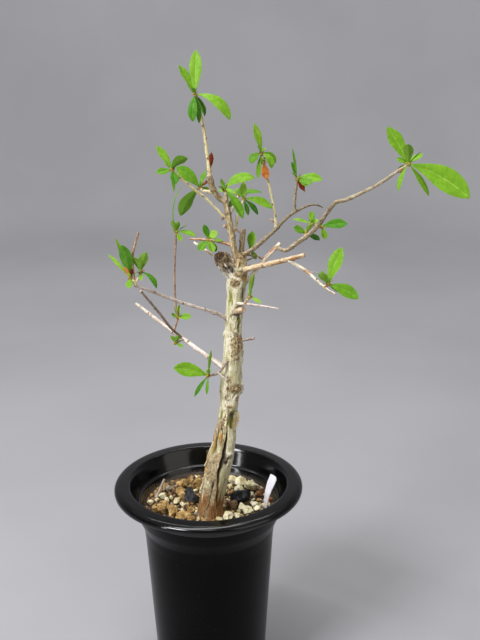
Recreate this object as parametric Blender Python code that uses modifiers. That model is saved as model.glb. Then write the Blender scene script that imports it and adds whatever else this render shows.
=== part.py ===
"""Potted myrrh: a small leaning shrub with pruned boughs and rosettes of leaves, in a tall flared pot.

Every sub-part is one closed solid. The world frame is in metres with +Z up: X runs to the right and Y to
the back of the plant as it is looked at from the front, and the origin is the centre of the pot's flat
underside. The sizes below are millimetres and degrees. A heading is seen from above and runs anticlockwise:
0 right, 90 back, 180 left, -90 front. A rise is the angle above the horizon.
"""

import math
import random
from dataclasses import dataclass

import bmesh
import bpy
from mathutils import Vector

MM = 0.001  # metres in a millimetre
GAP = 0.3  # clearance between neighbouring solids

# Pot
POT_HEIGHT = 180.0
UNDERSIDE_RADIUS = 43.6
NECK_RADIUS = 52.1
NECK_HEIGHT = 143.0
RIM_RADIUS = 75.0
LIP_HEIGHT = 6.0
MOUTH_RADIUS = 62.5
STEP_HEIGHT = 165.0
NECK_BENDS = (150.0, 157.0)  # heights between the neck and the step where the inner wall bends
NECK_FLARE = 4.0  # the inner wall's spread from the neck to the step
WALL = 2.2
FLOOR = 2.6
FLOOR_FILLET = 3.0
SOFT_EDGE = 0.6  # height of the small rounded edges
MOUTH_FLARE = ((56.5, 165.6), (58.5, 171.0), (61.0, 177.0))  # radius and height, as under the flare
LIP_CROWN = ((-4.0, -0.4), (-1.2, -1.6), (0.0, -3.4))  # from the rim's radius and the pot's top
LIP_FOOT = (-0.2, -2.0)  # the turned-down edge's outer and inner corners, from the rim's radius
FLARE_UNDERSIDE = ((69.0, 175.2), (64.4, 173.0), (61.2, 167.5), (59.2, 161.0), (56.4, 152.0))
FOOT_CHAMFER = (1.2, 2.0)  # in along the underside and up the side
POT_FACETS = 36
DRAIN_COUNT = 6
DRAIN_RADIUS = 4.0
DRAIN_RING = 27.0
DRAIN_FACETS = 12

# Soil
SOIL_LEVEL = 159.5
SOIL_RINGS = 6
SOIL_ROUGHNESS = 1.3
SOIL_WAVES = ((4.1, 5.3), (2.3, 3.1))  # the broad and the fine waves' lengths along X and Y, in radians
FINE_WAVE = 0.6  # height of the fine wave, as a share of the broad one
FLAT_ROUND_TRUNK = 12.0  # radius that stays flat round the trunk's foot
FLAT_ROUND_LABEL = 4.0
FLAT_FADE = 6.0  # width over which the waves grow from nothing
SOIL_EDGE = 49.0  # radius where the waves have died out towards the pot's wall

# Plant label
LABEL_FOOT = (45.3, -10.0, 160.1)
LABEL_LENGTH = 29.0
LABEL_WIDTH = 8.8
LABEL_FOOT_WIDTH = 2.8
LABEL_THICKNESS = 0.8
LABEL_CORNER = 2.5
LABEL_SHOULDER = 0.8  # share of the length where the label has its full width
LABEL_HEADING = -40.0
LABEL_LEAN = 13.5

# Limbs and leaves
RING_STEP = 6.0  # distance between a limb's rings, over its radius
TRUNK_SIDES = 6  # bevel resolutions: 4 + 2 * resolution sides
BOUGH_SIDES = 2
TWIG_SIDES = 1
BUD_RADIUS = 1.5
LEAF_SPANS = 6
SMALL_LEAF_SPANS = 4
SMALL_LEAF = 13.0
LEAF_BASE_THICKNESS = 0.35
LEAF_THICKNESS_RATE = 0.016  # of the leaf's length
FOOT_WIDTH = 0.9
LEAF_FOLD = 0.16  # depth of the midrib below the edges, as a share of half the width
LEAF_CLEARANCE = 0.6
YOUNG_LEAF_SHARE = 0.38  # of the rosette's longest leaf
GOLDEN_ANGLE = 137.5


@dataclass(frozen=True)
class Run:
    """One straight run of a limb, and the limb's radius at the run's end."""

    length: float
    heading: float
    rise: float
    radius: float


@dataclass(frozen=True)
class Limb:
    """A tapering limb: its centre line's foot and runs, and the limbs it is cut clear of."""

    name: str
    foot: tuple
    radius: float
    runs: tuple
    hosts: tuple = ()


@dataclass(frozen=True)
class Leaf:
    """One leaf of a rosette: its size, its direction at the foot, how far it bends down and turns."""

    length: float
    width: float
    heading: float
    rise: float
    droop: float = 20.0
    turn: float = 0.0


@dataclass(frozen=True)
class Rosette:
    """Leaves that spread from one place on a twig, told as a share of the twig's length."""

    along: float
    leaves: tuple
    young: int = 0


@dataclass(frozen=True)
class Twig:
    """A tapering twig of a mass and the rosettes it carries."""

    foot: tuple
    radius: float
    runs: tuple
    rosettes: tuple = ()


@dataclass(frozen=True)
class Mass:
    """One mass of foliage: twigs with their leaves, grown from a host limb that it stays clear of."""

    name: str
    twigs: tuple
    hosts: tuple


TRUNK = Limb(
    "trunk",
    (2, -19, 160),
    10.4,
    (
        Run(4, 0, 90, 9.4),
        Run(8, 46, 80, 9.2),
        Run(19, 16, 79, 9.6),
        Run(15, 17, 77, 9.9),
        Run(17, 29, 75, 8.7),
        Run(16, 46, 80, 7.0),
        Run(14, 26, 82, 6.9),
        Run(19, 51, 82, 7.9),
        Run(21, 47, 84, 6.9),
        Run(21, 74, 86, 6.4),
        Run(19, 45, 81, 6.5),
        Run(12, 56, 85, 7.5),
        Run(11, 30, 79, 6.3),
        Run(12, 64, 80, 4.3),
    ),
)

LEADER = Limb(
    "leader",
    (24, -3, 359),
    2.7,
    (Run(12, 157, 78, 2.5), Run(15, 141, 78, 2.5), Run(13, 126, 74, 2.3), Run(6, 142, 73, 2.2)),
    ("trunk",),
)

BOUGHS = (
    Limb(
        "pruned_knob",
        (20, -2, 354),
        6.3,
        (Run(11, -132, 41, 6.1), Run(6, -137, 43, 5.4)),
        ("trunk", "leader"),
    ),
    Limb(
        "leader_left_stub",
        (16, 4, 403),
        2.1,
        (Run(6, 180, 31, 2.2), Run(10, -156, 60, 2.3), Run(8, -133, 72, 2.2)),
        ("leader",),
    ),
    Limb("leader_right_stub", (16, 5, 403), 1.7, (Run(6, 69, 66, 1.5),), ("leader", "leader_left_stub")),
    Limb(
        "low_left_pale_bough",
        (15, -7, 277),
        2.2,
        (Run(25, 147, 23, 1.9), Run(28, 144, 22, 1.7), Run(26, 145, 24, 1.4), Run(16, 148, 26, 1.2)),
        ("trunk",),
    ),
    Limb(
        "low_left_brown_bough",
        (-20, 16, 295),
        1.1,
        (Run(17, -127, 43, 1.1), Run(15, -134, 53, 1.05), Run(27, -141, 52, 0.9)),
        ("low_left_pale_bough",),
    ),
    Limb(
        "upper_left_bough",
        (18, -6, 316),
        1.6,
        (Run(15, -142, 30, 1.4), Run(32, -152, 24, 1.25), Run(27, -147, 27, 1.1), Run(11, -148, 25, 1.0)),
        ("trunk",),
    ),
    Limb(
        "bare_left_twig",
        (13, 1, 359),
        1.1,
        (Run(17, 148, 25, 1.0), Run(10, 156, 28, 0.9)),
        ("trunk", "pruned_knob"),
    ),
    Limb("upright_stub", (27, 5, 362), 2.1, (Run(20, 47, 82, 2.0),), ("trunk", "upper_right_bough")),
    Limb(
        "upper_right_bough",
        (26, -2, 363),
        1.9,
        (
            Run(12, 39, 16, 1.8),
            Run(27, 49, 21, 1.6),
            Run(23, 51, 24, 1.4),
            Run(20, 38, 16, 1.0),
            Run(8, 33, -1, 0.75),
            Run(7, 31, -21, 0.6),
        ),
        ("trunk", "leader"),
    ),
    Limb(
        "pale_cut_bough",
        (26, 1, 338),
        1.8,
        (Run(14.5, 37, 36, 1.7), Run(12, 31, 45, 1.6), Run(20, 18, 43, 1.6)),
        ("trunk",),
    ),
    Limb(
        "tan_cut_bough",
        (26, -4, 353),
        2.3,
        (Run(13, -24, 17, 2.1), Run(19, -21, 17, 1.9), Run(20, -20, 18, 1.7)),
        ("trunk",),
    ),
    Limb(
        "long_right_bough",
        (54, 15, 366),
        1.3,
        (
            Run(7.6, -32, -11, 1.5),
            Run(8, -43, 31, 1.75),
            Run(24.7, -38, 38, 1.65),
            Run(28, -47, 49, 1.45),
            Run(11, -44, 20, 1.4),
            Run(25.4, -42, 27, 1.25),
            Run(22.6, -41, 34, 1.1),
        ),
        ("pale_cut_bough",),
    ),
    Limb("dead_right_stub", (23, -7, 299), 1.2, (Run(15, -20, 16, 1.0),), ("trunk",)),
)

MASSES = (
    Mass(
        "top_foliage",
        (
            Twig(
                (5, 0, 422),
                1.3,
                (Run(28, -125, 80, 1.2), Run(17, -123, 74, 1.0), Run(14, -148, 73, 0.8)),
                (
                    Rosette(0.06, (Leaf(10, 3.5, -55, 75, 20, -30),)),
                    Rosette(
                        1.0,
                        (
                            Leaf(31, 9, 85, 80, 15),
                            Leaf(23, 7, 165, 70, 20, -30),
                            Leaf(32, 9, -10, 5, 80, 45),
                            Leaf(20, 7, -105, -35, 70),
                            Leaf(20, 4.5, -60, -55, 40),
                            Leaf(18, 4.5, 45, -35, 50, -15),
                            Leaf(16, 4, 85, -35, 40),
                        ),
                        2,
                    ),
                ),
            ),
        ),
        ("leader_left_stub",),
    ),
    Mass(
        "leader_tip_foliage",
        (
            Twig(
                (17, 7, 407),
                1.3,
                (Run(4, 180, 65, 1.1),),
                (
                    Rosette(
                        1.0,
                        (
                            Leaf(26, 9, 10, 60, 80, 45),
                            Leaf(9, 3.5, 130, 70, 10),
                            Leaf(26, 8, -35, -25, 50, 20),
                            Leaf(20, 4.5, -12, -30, 50, 20),
                        ),
                        2,
                    ),
                ),
            ),
        ),
        ("leader_right_stub",),
    ),
    Mass(
        "leader_right_foliage",
        (
            Twig(
                (20, 0, 382),
                1.2,
                (Run(5, 54, 2, 1.2), Run(12, 67, 64, 1.1), Run(12, 49, 56, 0.9)),
                (
                    Rosette(
                        1.0,
                        (
                            Leaf(24, 8, 10, 5, 50, 45),
                            Leaf(16, 5, -20, -25, 40, 30),
                            Leaf(13, 4, -60, -45, 30),
                            Leaf(10, 5, 140, 65, 60, -30),
                            Leaf(13, 5, 95, 85, 30),
                        ),
                        1,
                    ),
                ),
            ),
        ),
        ("leader",),
    ),
    Mass(
        "left_spur_foliage",
        (
            Twig(
                (8, 3, 410),
                1.3,
                (Run(8, 165, 5, 1.2), Run(4, 144, 28, 1.0)),
                (
                    Rosette(
                        1.0,
                        (
                            Leaf(23, 10, 170, 55, 30, -60),
                            Leaf(26, 10.5, 175, -35, 40, 60),
                            Leaf(14, 4.5, 60, 65, 20),
                            Leaf(10, 4.5, 50, -5, 30, -45),
                        ),
                        2,
                    ),
                ),
            ),
        ),
        ("leader_left_stub",),
    ),
    Mass(
        "left_shoot_foliage",
        (
            Twig(
                (18, 0, 389),
                1.0,
                (Run(25, -153, 46, 1.0), Run(16, -151, 38, 0.9), Run(18, -154, 43, 0.8)),
                (
                    Rosette(
                        1.0,
                        (
                            Leaf(20, 6, 160, 65, 20, -40),
                            Leaf(12, 5.5, -155, 5, 20, -50),
                            Leaf(16, 8, -20, 75, 80, -50),
                            Leaf(12, 6.5, -70, -30, 30),
                            Leaf(16, 2.5, 80, -70, 20),
                        ),
                        2,
                    ),
                ),
            ),
        ),
        ("leader",),
    ),
    Mass(
        "left_wand_foliage",
        (
            Twig(
                (-26, 21, 298),
                0.9,
                (Run(11, 36, 68, 0.8), Run(8, 157, 81, 0.75), Run(25.6, 103, 85, 0.7), Run(34, 45, 85, 0.65)),
                (
                    Rosette(
                        0.15,
                        (
                            Leaf(7, 4.5, -140, 40, 20, -45),
                            Leaf(10, 3, 75, 65, 0),
                            Leaf(11, 6, -10, 15, 20, 45),
                            Leaf(9, 2.5, 125, 65, 0),
                        ),
                    ),
                    Rosette(
                        1.0,
                        (
                            Leaf(36, 3, 175, 72, -50, 10),
                            Leaf(12, 4.5, -115, 65, 10, 10),
                            Leaf(9, 4, -25, 80, 10, -45),
                            Leaf(16, 5, -10, 15, 50, 40),
                            Leaf(9, 4, -50, -30, 30, 10),
                        ),
                        2,
                    ),
                ),
            ),
        ),
        ("low_left_pale_bough",),
    ),
    Mass(
        "far_left_foliage",
        (
            Twig(
                (-46.5, -46, 353.4),
                1.2,
                (Run(3.6, 180, 86, 1.1), Run(3, 180, 29, 1.0)),
                (
                    Rosette(
                        1.0,
                        (
                            Leaf(26, 9, -130, 85, 20, 40),
                            Leaf(30, 4.5, 160, 75, 10, -10),
                            Leaf(9, 5, -95, -15, 40),
                            Leaf(14, 4.5, -165, 65, 10, 45),
                            Leaf(23, 3, 160, 50, 10, -30),
                            Leaf(9, 3, -60, 70, 10),
                        ),
                        1,
                    ),
                ),
            ),
            Twig((-47, -46, 356), 0.9, (Run(19, 0, 90, 0.8), Run(15.5, 27, 73, 0.8))),
            Twig(
                (-46, -46, 355),
                0.8,
                (Run(8.7, 40, 57, 0.7),),
                (
                    Rosette(
                        1.0,
                        (
                            Leaf(16, 6.5, -35, 80, 20, -45),
                            Leaf(14, 6, -125, 75, 30, 20),
                            Leaf(17, 4.5, -15, -5, 80, 30),
                            Leaf(7, 3, -85, -30, 30),
                        ),
                        1,
                    ),
                ),
            ),
        ),
        ("upper_left_bough",),
    ),
    Mass(
        "leader_left_foliage",
        (
            Twig(
                (20, -1, 372),
                1.3,
                (Run(15, 168, 10, 1.2), Run(16, 169, 2, 0.9)),
                (
                    Rosette(
                        0.55,
                        (
                            Leaf(12, 5.5, 155, 75, 10, -35),
                            Leaf(9, 6.5, 10, 60, 30, 45),
                            Leaf(12, 7, -140, -20, 30, -30),
                            Leaf(11, 6, -65, -30, 30, 5),
                            Leaf(11, 3, -20, 10, 20, 45),
                            Leaf(11, 5, 25, -45, 30, -45),
                        ),
                        1,
                    ),
                ),
            ),
        ),
        ("leader",),
    ),
    Mass(
        "right_wand_foliage",
        (
            Twig(
                (54, 27, 379),
                1.2,
                (Run(12, 124, 79, 1.0), Run(26.4, 149, 76, 0.9), Run(18, 156, 75, 0.8)),
                (
                    Rosette(0.88, (Leaf(12, 4.5, -70, -55, 20),)),
                    Rosette(
                        1.0,
                        (
                            Leaf(23, 7, 140, 80, 15, -15),
                            Leaf(12, 8, -160, 5, 90, -35),
                            Leaf(19, 4, -125, -65, 20, -15),
                            Leaf(16, 6, -35, 5, 110, 30),
                            Leaf(15, 6, 15, 10, 90, 60),
                            Leaf(7, 3, 60, 40, 10),
                            Leaf(12, 3, 95, -45, 30),
                        ),
                        1,
                    ),
                ),
            ),
        ),
        ("upper_right_bough",),
    ),
    Mass(
        "right_spur_foliage",
        (
            Twig(
                (69, 44, 388),
                1.2,
                (Run(7, 90, 84, 1.1), Run(18, 50, 81, 1.0)),
                (
                    Rosette(
                        1.0,
                        (
                            Leaf(20, 8.5, -5, 20, 45, 45),
                            Leaf(13, 6.5, -30, 5, 40, 40),
                            Leaf(14, 3.5, 135, 70, 10, -20),
                            Leaf(24, 2.5, 115, 75, 10, 10),
                            Leaf(12, 5, -45, -10, 30, 15),
                            Leaf(10, 6, -40, -45, 20, 35),
                        ),
                        1,
                    ),
                ),
            ),
        ),
        ("upper_right_bough",),
    ),
    Mass(
        "far_right_foliage",
        (
            Twig(
                (131.5, -53, 432),
                1.2,
                (Run(7.7, -31, 39, 1.0),),
                (
                    Rosette(
                        1.0,
                        (
                            Leaf(46, 17, -15, -10, 35, 60),
                            Leaf(28, 10.5, 160, 65, 15, -50),
                            Leaf(19, 7, -105, 70, 40),
                            Leaf(9, 4, 165, 30, 10, -40),
                            Leaf(19, 4, -165, -50, 40, -25),
                            Leaf(25, 5, -15, -45, 20, 45),
                            Leaf(12, 4.5, 120, -20, 30, 35),
                            Leaf(14, 5, 35, 35, 20, 25),
                        ),
                        1,
                    ),
                ),
            ),
        ),
        ("long_right_bough",),
    ),
    Mass(
        "right_front_foliage",
        (
            Twig(
                (61, -18, 364),
                1.4,
                (Run(14, -14, -29, 1.3), Run(19, -38, -30, 0.9), Run(10, -38, -23, 0.6)),
            ),
            Twig(
                (86, -32, 348),
                0.8,
                (Run(3, -24, 35, 0.8),),
                (
                    Rosette(
                        1.0,
                        (
                            Leaf(28, 11, 25, 75, 15, 30),
                            Leaf(24, 10, -15, -5, 35, 50),
                            Leaf(13, 6.5, -145, 65, 30, 40),
                            Leaf(13, 4, 25, -25, 20, -40),
                        ),
                        1,
                    ),
                ),
            ),
        ),
        ("tan_cut_bough",),
    ),
    Mass(
        "right_back_foliage",
        (
            Twig(
                (73, 1, 375),
                0.9,
                (Run(7, 69, 30, 0.8), Run(9, 45, 38, 0.8)),
                (
                    Rosette(
                        0.45,
                        (
                            Leaf(11, 7, -160, 35, 20, -50),
                            Leaf(8, 4.5, -15, 70, 20, -50),
                            Leaf(13, 5.5, 20, -20, 20, -50),
                        ),
                    ),
                    Rosette(
                        1.0,
                        (
                            Leaf(10, 5, 100, 75, 10),
                            Leaf(15, 3, 170, 25, 20, -40),
                            Leaf(6, 3.5, 25, 45, 20, 30),
                        ),
                        1,
                    ),
                ),
            ),
            Twig(
                (80, 12, 384),
                0.7,
                (Run(7, 0, -16, 0.7), Run(5, 12, -4, 0.6)),
                (Rosette(0.6, (Leaf(20, 8.5, 5, 20, 30, 50), Leaf(10, 5.5, -45, -50, 30, 20))),),
            ),
        ),
        ("long_right_bough",),
    ),
    Mass(
        "fork_foliage",
        (
            Twig(
                (28, 3, 362),
                0.9,
                (Run(10, 48, 15, 0.8),),
                (Rosette(1.0, (Leaf(15, 7, 75, 80, 15), Leaf(9, 4.5, 40, -45, 20, -55)), 2),),
            ),
        ),
        ("trunk", "upper_right_bough", "upright_stub"),
    ),
    Mass(
        "trunk_right_foliage",
        (
            Twig((21, -6, 329), 1.3, (Run(12, -42, 6, 1.1), Run(13, -14, -3, 0.8), Run(12, -14, -6, 0.5))),
            Twig(
                (29, -14, 330),
                0.8,
                (Run(7, 0, 54, 0.8),),
                (Rosette(1.0, (Leaf(18, 5, 0, 85, 10, -50), Leaf(10, 3, -20, -10, 30, 40)), 1),),
            ),
        ),
        ("trunk",),
    ),
    Mass(
        "trunk_left_foliage",
        (
            Twig(
                (19, -12, 289),
                1.1,
                (Run(16, -140, -39, 1.0), Run(8, -158, -10, 0.9)),
                (
                    Rosette(
                        1.0,
                        (
                            Leaf(27, 11, -170, 30, 25, -60),
                            Leaf(21, 3, -20, 85, 5, -30),
                            Leaf(19, 3.5, -165, -45, 20, -45),
                            Leaf(14, 2.5, -105, -60, 20),
                        ),
                        1,
                    ),
                ),
            ),
        ),
        ("trunk",),
    ),
    Mass(
        "low_left_foliage",
        (
            Twig(
                (-18.5, 14, 294),
                0.8,
                (Run(8, -143, -15, 0.7),),
                (
                    Rosette(
                        0.85,
                        (
                            Leaf(8, 3.5, -150, 70, 20, 45),
                            Leaf(8, 4, -40, 75, 20, -30),
                            Leaf(7, 3, -25, -10, 20, 45),
                        ),
                    ),
                ),
            ),
        ),
        ("low_left_pale_bough", "low_left_brown_bough"),
    ),
    Mass(
        "back_foliage",
        (
            Twig(
                (18, 2, 392),
                1.2,
                (Run(19, 77, 14, 1.1), Run(17, 79, 17, 0.9)),
                (
                    Rosette(
                        1.0,
                        (
                            Leaf(24, 8, 85, 25, 40),
                            Leaf(20, 7, 20, 30, 50, 20),
                            Leaf(19, 7, 150, 35, 50, -20),
                            Leaf(15, 5, -60, 60, 40),
                            Leaf(17, 6, 120, -20, 40),
                        ),
                        1,
                    ),
                ),
            ),
        ),
        ("leader",),
    ),
)


@dataclass(frozen=True)
class Finish:
    """A plain surface: its colour in linear RGB and its roughness."""

    name: str
    colour: tuple
    roughness: float

    def material(self):
        """The finish as a Principled material, made once."""
        material = bpy.data.materials.get(self.name)
        if material is None:
            material = bpy.data.materials.new(self.name)
            material.use_nodes = True
            shader = material.node_tree.nodes["Principled BSDF"]
            shader.inputs["Base Color"].default_value = (*self.colour, 1.0)
            shader.inputs["Roughness"].default_value = self.roughness
            shader.inputs["Metallic"].default_value = 0.0
        return material


BLACK_PLASTIC = Finish("glossy_black_plastic", (0.012, 0.012, 0.013), 0.25)
GRIT_SOIL = Finish("grit_soil", (0.30, 0.20, 0.09), 0.95)
WHITE_PLASTIC = Finish("white_label_plastic", (0.78, 0.78, 0.80), 0.4)
PALE_BARK = Finish("pale_bark", (0.46, 0.40, 0.24), 0.85)
BROWN_BARK = Finish("brown_bark", (0.25, 0.16, 0.09), 0.85)
GREEN_LEAF = Finish("green_leaf", (0.20, 0.48, 0.05), 0.45)


def collection_named(name):
    """A new collection of the scene."""
    collection = bpy.data.collections.new(name)
    bpy.context.scene.collection.children.link(collection)
    return collection


def object_from(name, data, collection):
    """A new object that shows the mesh or curve, linked to the collection."""
    item = bpy.data.objects.new(name, data)
    collection.objects.link(item)
    return item


def applied(item):
    """The object with its modifiers, or its curve, turned into a plain welded mesh."""
    bpy.context.view_layer.update()
    graph = bpy.context.evaluated_depsgraph_get()
    mesh = bpy.data.meshes.new_from_object(item.evaluated_get(graph))
    shape = bmesh.new()
    shape.from_mesh(mesh)
    bmesh.ops.remove_doubles(shape, verts=shape.verts, dist=1e-6)
    bmesh.ops.recalc_face_normals(shape, faces=shape.faces)
    shape.to_mesh(mesh)
    shape.free()
    name, collection = item.name, item.users_collection[0]
    matrix = item.matrix_world.copy()
    bpy.data.objects.remove(item)
    plain = object_from(name, mesh, collection)
    plain.matrix_world = matrix
    return plain


def direction(heading, rise):
    """The unit vector of a heading and a rise."""
    turn, lift = math.radians(heading), math.radians(rise)
    return Vector((math.cos(lift) * math.cos(turn), math.cos(lift) * math.sin(turn), math.sin(lift)))


def corners(foot, radius, runs):
    """The places and radii at the ends of a limb's runs."""
    places, radii = [Vector(foot)], [radius]
    for run in runs:
        places.append(places[-1] + direction(run.heading, run.rise) * run.length)
        radii.append(run.radius)
    return places, radii


def centre_line(limb):
    """Evenly spaced places and radii along the smooth curve through a limb's corners."""
    places, radii = corners(limb.foot, limb.radius, limb.runs)
    before = [places[0] * 2 - places[1]] + places[:-1]
    after = places[1:] + [places[-1] * 2 - places[-2]]
    line, girth = [], []
    for i in range(len(places) - 1):
        start, end = places[i], places[i + 1]
        leave, arrive = (after[i] - before[i]) / 2, (after[i + 1] - before[i + 1]) / 2
        reach = (end - start).length
        leave, arrive = leave.normalized() * reach, arrive.normalized() * reach
        steps = max(1, round(reach / (RING_STEP + radii[i])))
        for k in range(steps):
            t = k / steps
            line.append(
                start * (2 * t**3 - 3 * t**2 + 1)
                + leave * (t**3 - 2 * t**2 + t)
                + end * (3 * t**2 - 2 * t**3)
                + arrive * (t**3 - t**2)
            )
            girth.append(radii[i] + (radii[i + 1] - radii[i]) * t)
    return line + [places[-1]], girth + [radii[-1]]


def tube(name, limb, sides, collection, clearance=0.0):
    """A limb as a capped bevelled curve, made a mesh; a clearance makes it that much fatter and longer."""
    line, girth = centre_line(limb)
    if clearance:
        line[0] = line[0] - (line[1] - line[0]).normalized() * clearance
        line[-1] = line[-1] + (line[-1] - line[-2]).normalized() * clearance
    curve = bpy.data.curves.new(name, "CURVE")
    curve.dimensions = "3D"
    curve.twist_mode = "MINIMUM"
    curve.bevel_depth = MM
    curve.bevel_resolution = sides
    curve.use_fill_caps = True
    spline = curve.splines.new("POLY")
    spline.points.add(len(line) - 1)
    for point, place, radius in zip(spline.points, line, girth):
        point.co = (*(place * MM), 1.0)
        point.radius = radius + clearance
    return applied(object_from(name, curve, collection))


def joined(piece, collection):
    """The piece united with everything in the collection, whose objects are then removed."""
    union = piece.modifiers.new("join", "BOOLEAN")
    union.operation = "UNION"
    union.operand_type = "COLLECTION"
    union.collection = collection
    whole = applied(piece)
    for item in list(collection.objects):
        bpy.data.objects.remove(item)
    return whole


def carved(piece, cutter):
    """The piece with the cutter's shape taken out of it, and the cutter removed."""
    cut = piece.modifiers.new("clear", "BOOLEAN")
    cut.operation = "DIFFERENCE"
    cut.object = cutter
    whole = applied(piece)
    bpy.data.objects.remove(cutter)
    return whole


def clear_of_hosts(piece, hosts, limbs, cutters):
    """The piece cut 0.3 mm clear of each limb that it grows from."""
    for host in hosts:
        sides = TRUNK_SIDES if host == "trunk" else BOUGH_SIDES
        piece = carved(piece, tube("host", limbs[host], sides, cutters, GAP))
    return piece


def leaf_half_width(leaf, t):
    """Half the leaf's width at a share of its length: a narrow foot, a broad middle and a pointed tip."""
    blade = math.sin(math.pi * t**1.45) ** 0.78 if 0.0 < t < 1.0 else 0.0
    foot = FOOT_WIDTH * max(0.0, 1.0 - t) ** 0.5
    return 0.5 * max(leaf.width * blade, foot, 0.2)


def leaf_frames(place, leaf, spans):
    """The midrib's places with the blade's sideways and upward directions, along an arc that bends down."""
    spot = Vector(place)
    turn = math.radians(leaf.turn)
    frames = []
    for k in range(spans + 1):
        t = k / spans
        rise = leaf.rise - leaf.droop * t
        along = direction(leaf.heading, rise)
        level = direction(leaf.heading + 90.0, 0.0)
        above = along.cross(level)
        side = level * math.cos(turn) + above * math.sin(turn)
        frames.append((t, spot.copy(), side, along.cross(side)))
        spot += direction(leaf.heading, rise - leaf.droop / spans / 2) * (leaf.length / spans)
    return frames


def blade(name, place, leaf, collection):
    """One leaf as a loft of flat lens sections, folded a little along the midrib."""
    thickness = LEAF_BASE_THICKNESS + LEAF_THICKNESS_RATE * leaf.length
    shape = bmesh.new()
    rings = []
    spans = SMALL_LEAF_SPANS if leaf.length < SMALL_LEAF else LEAF_SPANS
    for t, spot, side, above in leaf_frames(place, leaf, spans):
        half = leaf_half_width(leaf, t)
        fold = above * (LEAF_FOLD * half)
        thick = above * (thickness / 2 * (1.0 - 0.4 * t))
        section = (spot + side * half, spot - fold + thick, spot - side * half, spot - fold - thick)
        rings.append([shape.verts.new(corner * MM) for corner in section])
    for ring, following in zip(rings, rings[1:]):
        for i in range(4):
            j = (i + 1) % 4
            shape.faces.new((ring[i], ring[j], following[j], following[i]))
    shape.faces.new(rings[0])
    shape.faces.new(rings[-1])
    bmesh.ops.recalc_face_normals(shape, faces=shape.faces)
    mesh = bpy.data.meshes.new(name)
    shape.to_mesh(mesh)
    shape.free()
    return object_from(name, mesh, collection)


def bud(place, collection):
    """The small swelling that a rosette's leaves grow from."""
    shape = bmesh.new()
    bmesh.ops.create_icosphere(shape, subdivisions=1, radius=BUD_RADIUS * MM)
    bmesh.ops.translate(shape, verts=shape.verts, vec=place * MM)
    mesh = bpy.data.meshes.new("bud")
    shape.to_mesh(mesh)
    shape.free()
    return object_from("bud", mesh, collection)


def young_leaves(rosette, chance):
    """Small steep leaves in the rosette's middle, a golden angle apart, by the mass's seeded chance."""
    longest = max(leaf.length for leaf in rosette.leaves)
    heading = chance.uniform(0.0, 360.0)
    for _ in range(rosette.young):
        length = min(12.0, longest * YOUNG_LEAF_SHARE * chance.uniform(0.8, 1.2))
        yield Leaf(length, length * 0.3, heading, chance.uniform(35.0, 65.0), 20.0)
        heading += GOLDEN_ANGLE


def touches(place, leaf, lines):
    """Whether the leaf's midrib or edges come within the clearance of a limb, its foot left out."""
    for t, spot, side, _ in leaf_frames(place, leaf, 2 * LEAF_SPANS)[2:]:
        half = leaf_half_width(leaf, t)
        for sample in (spot, spot + side * half, spot - side * half):
            for line, girth in lines:
                for a, b, radius in zip(line, line[1:], girth):
                    span = b - a
                    share = min(1.0, max(0.0, (sample - a).dot(span) / span.length_squared))
                    if (sample - a - span * share).length < radius + LEAF_CLEARANCE:
                        return True
    return False


def place_along(line, share):
    """The place at a share of a centre line's length."""
    lengths = [(b - a).length for a, b in zip(line, line[1:])]
    left = share * sum(lengths)
    for a, b, length in zip(line, line[1:], lengths):
        if left <= length:
            return a + (b - a) * (left / length)
        left -= length
    return line[-1].copy()


def grow(mass, limbs, collection, cutters, pieces):
    """One mass of foliage: its twigs, buds and leaves united, and cut clear of its hosts."""
    chance = random.Random(mass.name)
    lines = [centre_line(limb) for limb in limbs.values()]
    stem = None
    for number, twig in enumerate(mass.twigs):
        home = collection if number == 0 else pieces
        wood = tube(mass.name if number == 0 else "twig", twig, TWIG_SIDES, home)
        stem = wood if number == 0 else stem
        line, _ = centre_line(twig)
        for rosette in twig.rosettes:
            place = place_along(line, rosette.along)
            bud(place, pieces)
            for leaf in (*rosette.leaves, *young_leaves(rosette, chance)):
                if not touches(place, leaf, lines):
                    blade("leaf", place, leaf, pieces)
    whole = joined(stem, pieces)
    return clear_of_hosts(whole, mass.hosts, limbs, cutters)


def turned(name, profile, facets, collection):
    """A solid of revolution about the pot's axis, from a profile of radius and height pairs."""
    mesh = bpy.data.meshes.new(name)
    points = [(radius * MM, 0.0, height * MM) for radius, height in profile]
    mesh.from_pydata(points, [(i, i + 1) for i in range(len(points) - 1)], [])
    item = object_from(name, mesh, collection)
    screw = item.modifiers.new("turn", "SCREW")
    screw.steps = facets
    screw.render_steps = facets
    screw.use_merge_vertices = True
    screw.merge_threshold = 0.00001
    return applied(item)


def pot_inside(height):
    """The pot's inner radius at a height below its step."""
    if height > NECK_HEIGHT:
        share = (height - NECK_HEIGHT) / (STEP_HEIGHT - NECK_HEIGHT)
        return NECK_RADIUS - WALL + share**2 * NECK_FLARE
    return UNDERSIDE_RADIUS + (NECK_RADIUS - UNDERSIDE_RADIUS) * height / NECK_HEIGHT - WALL


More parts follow.
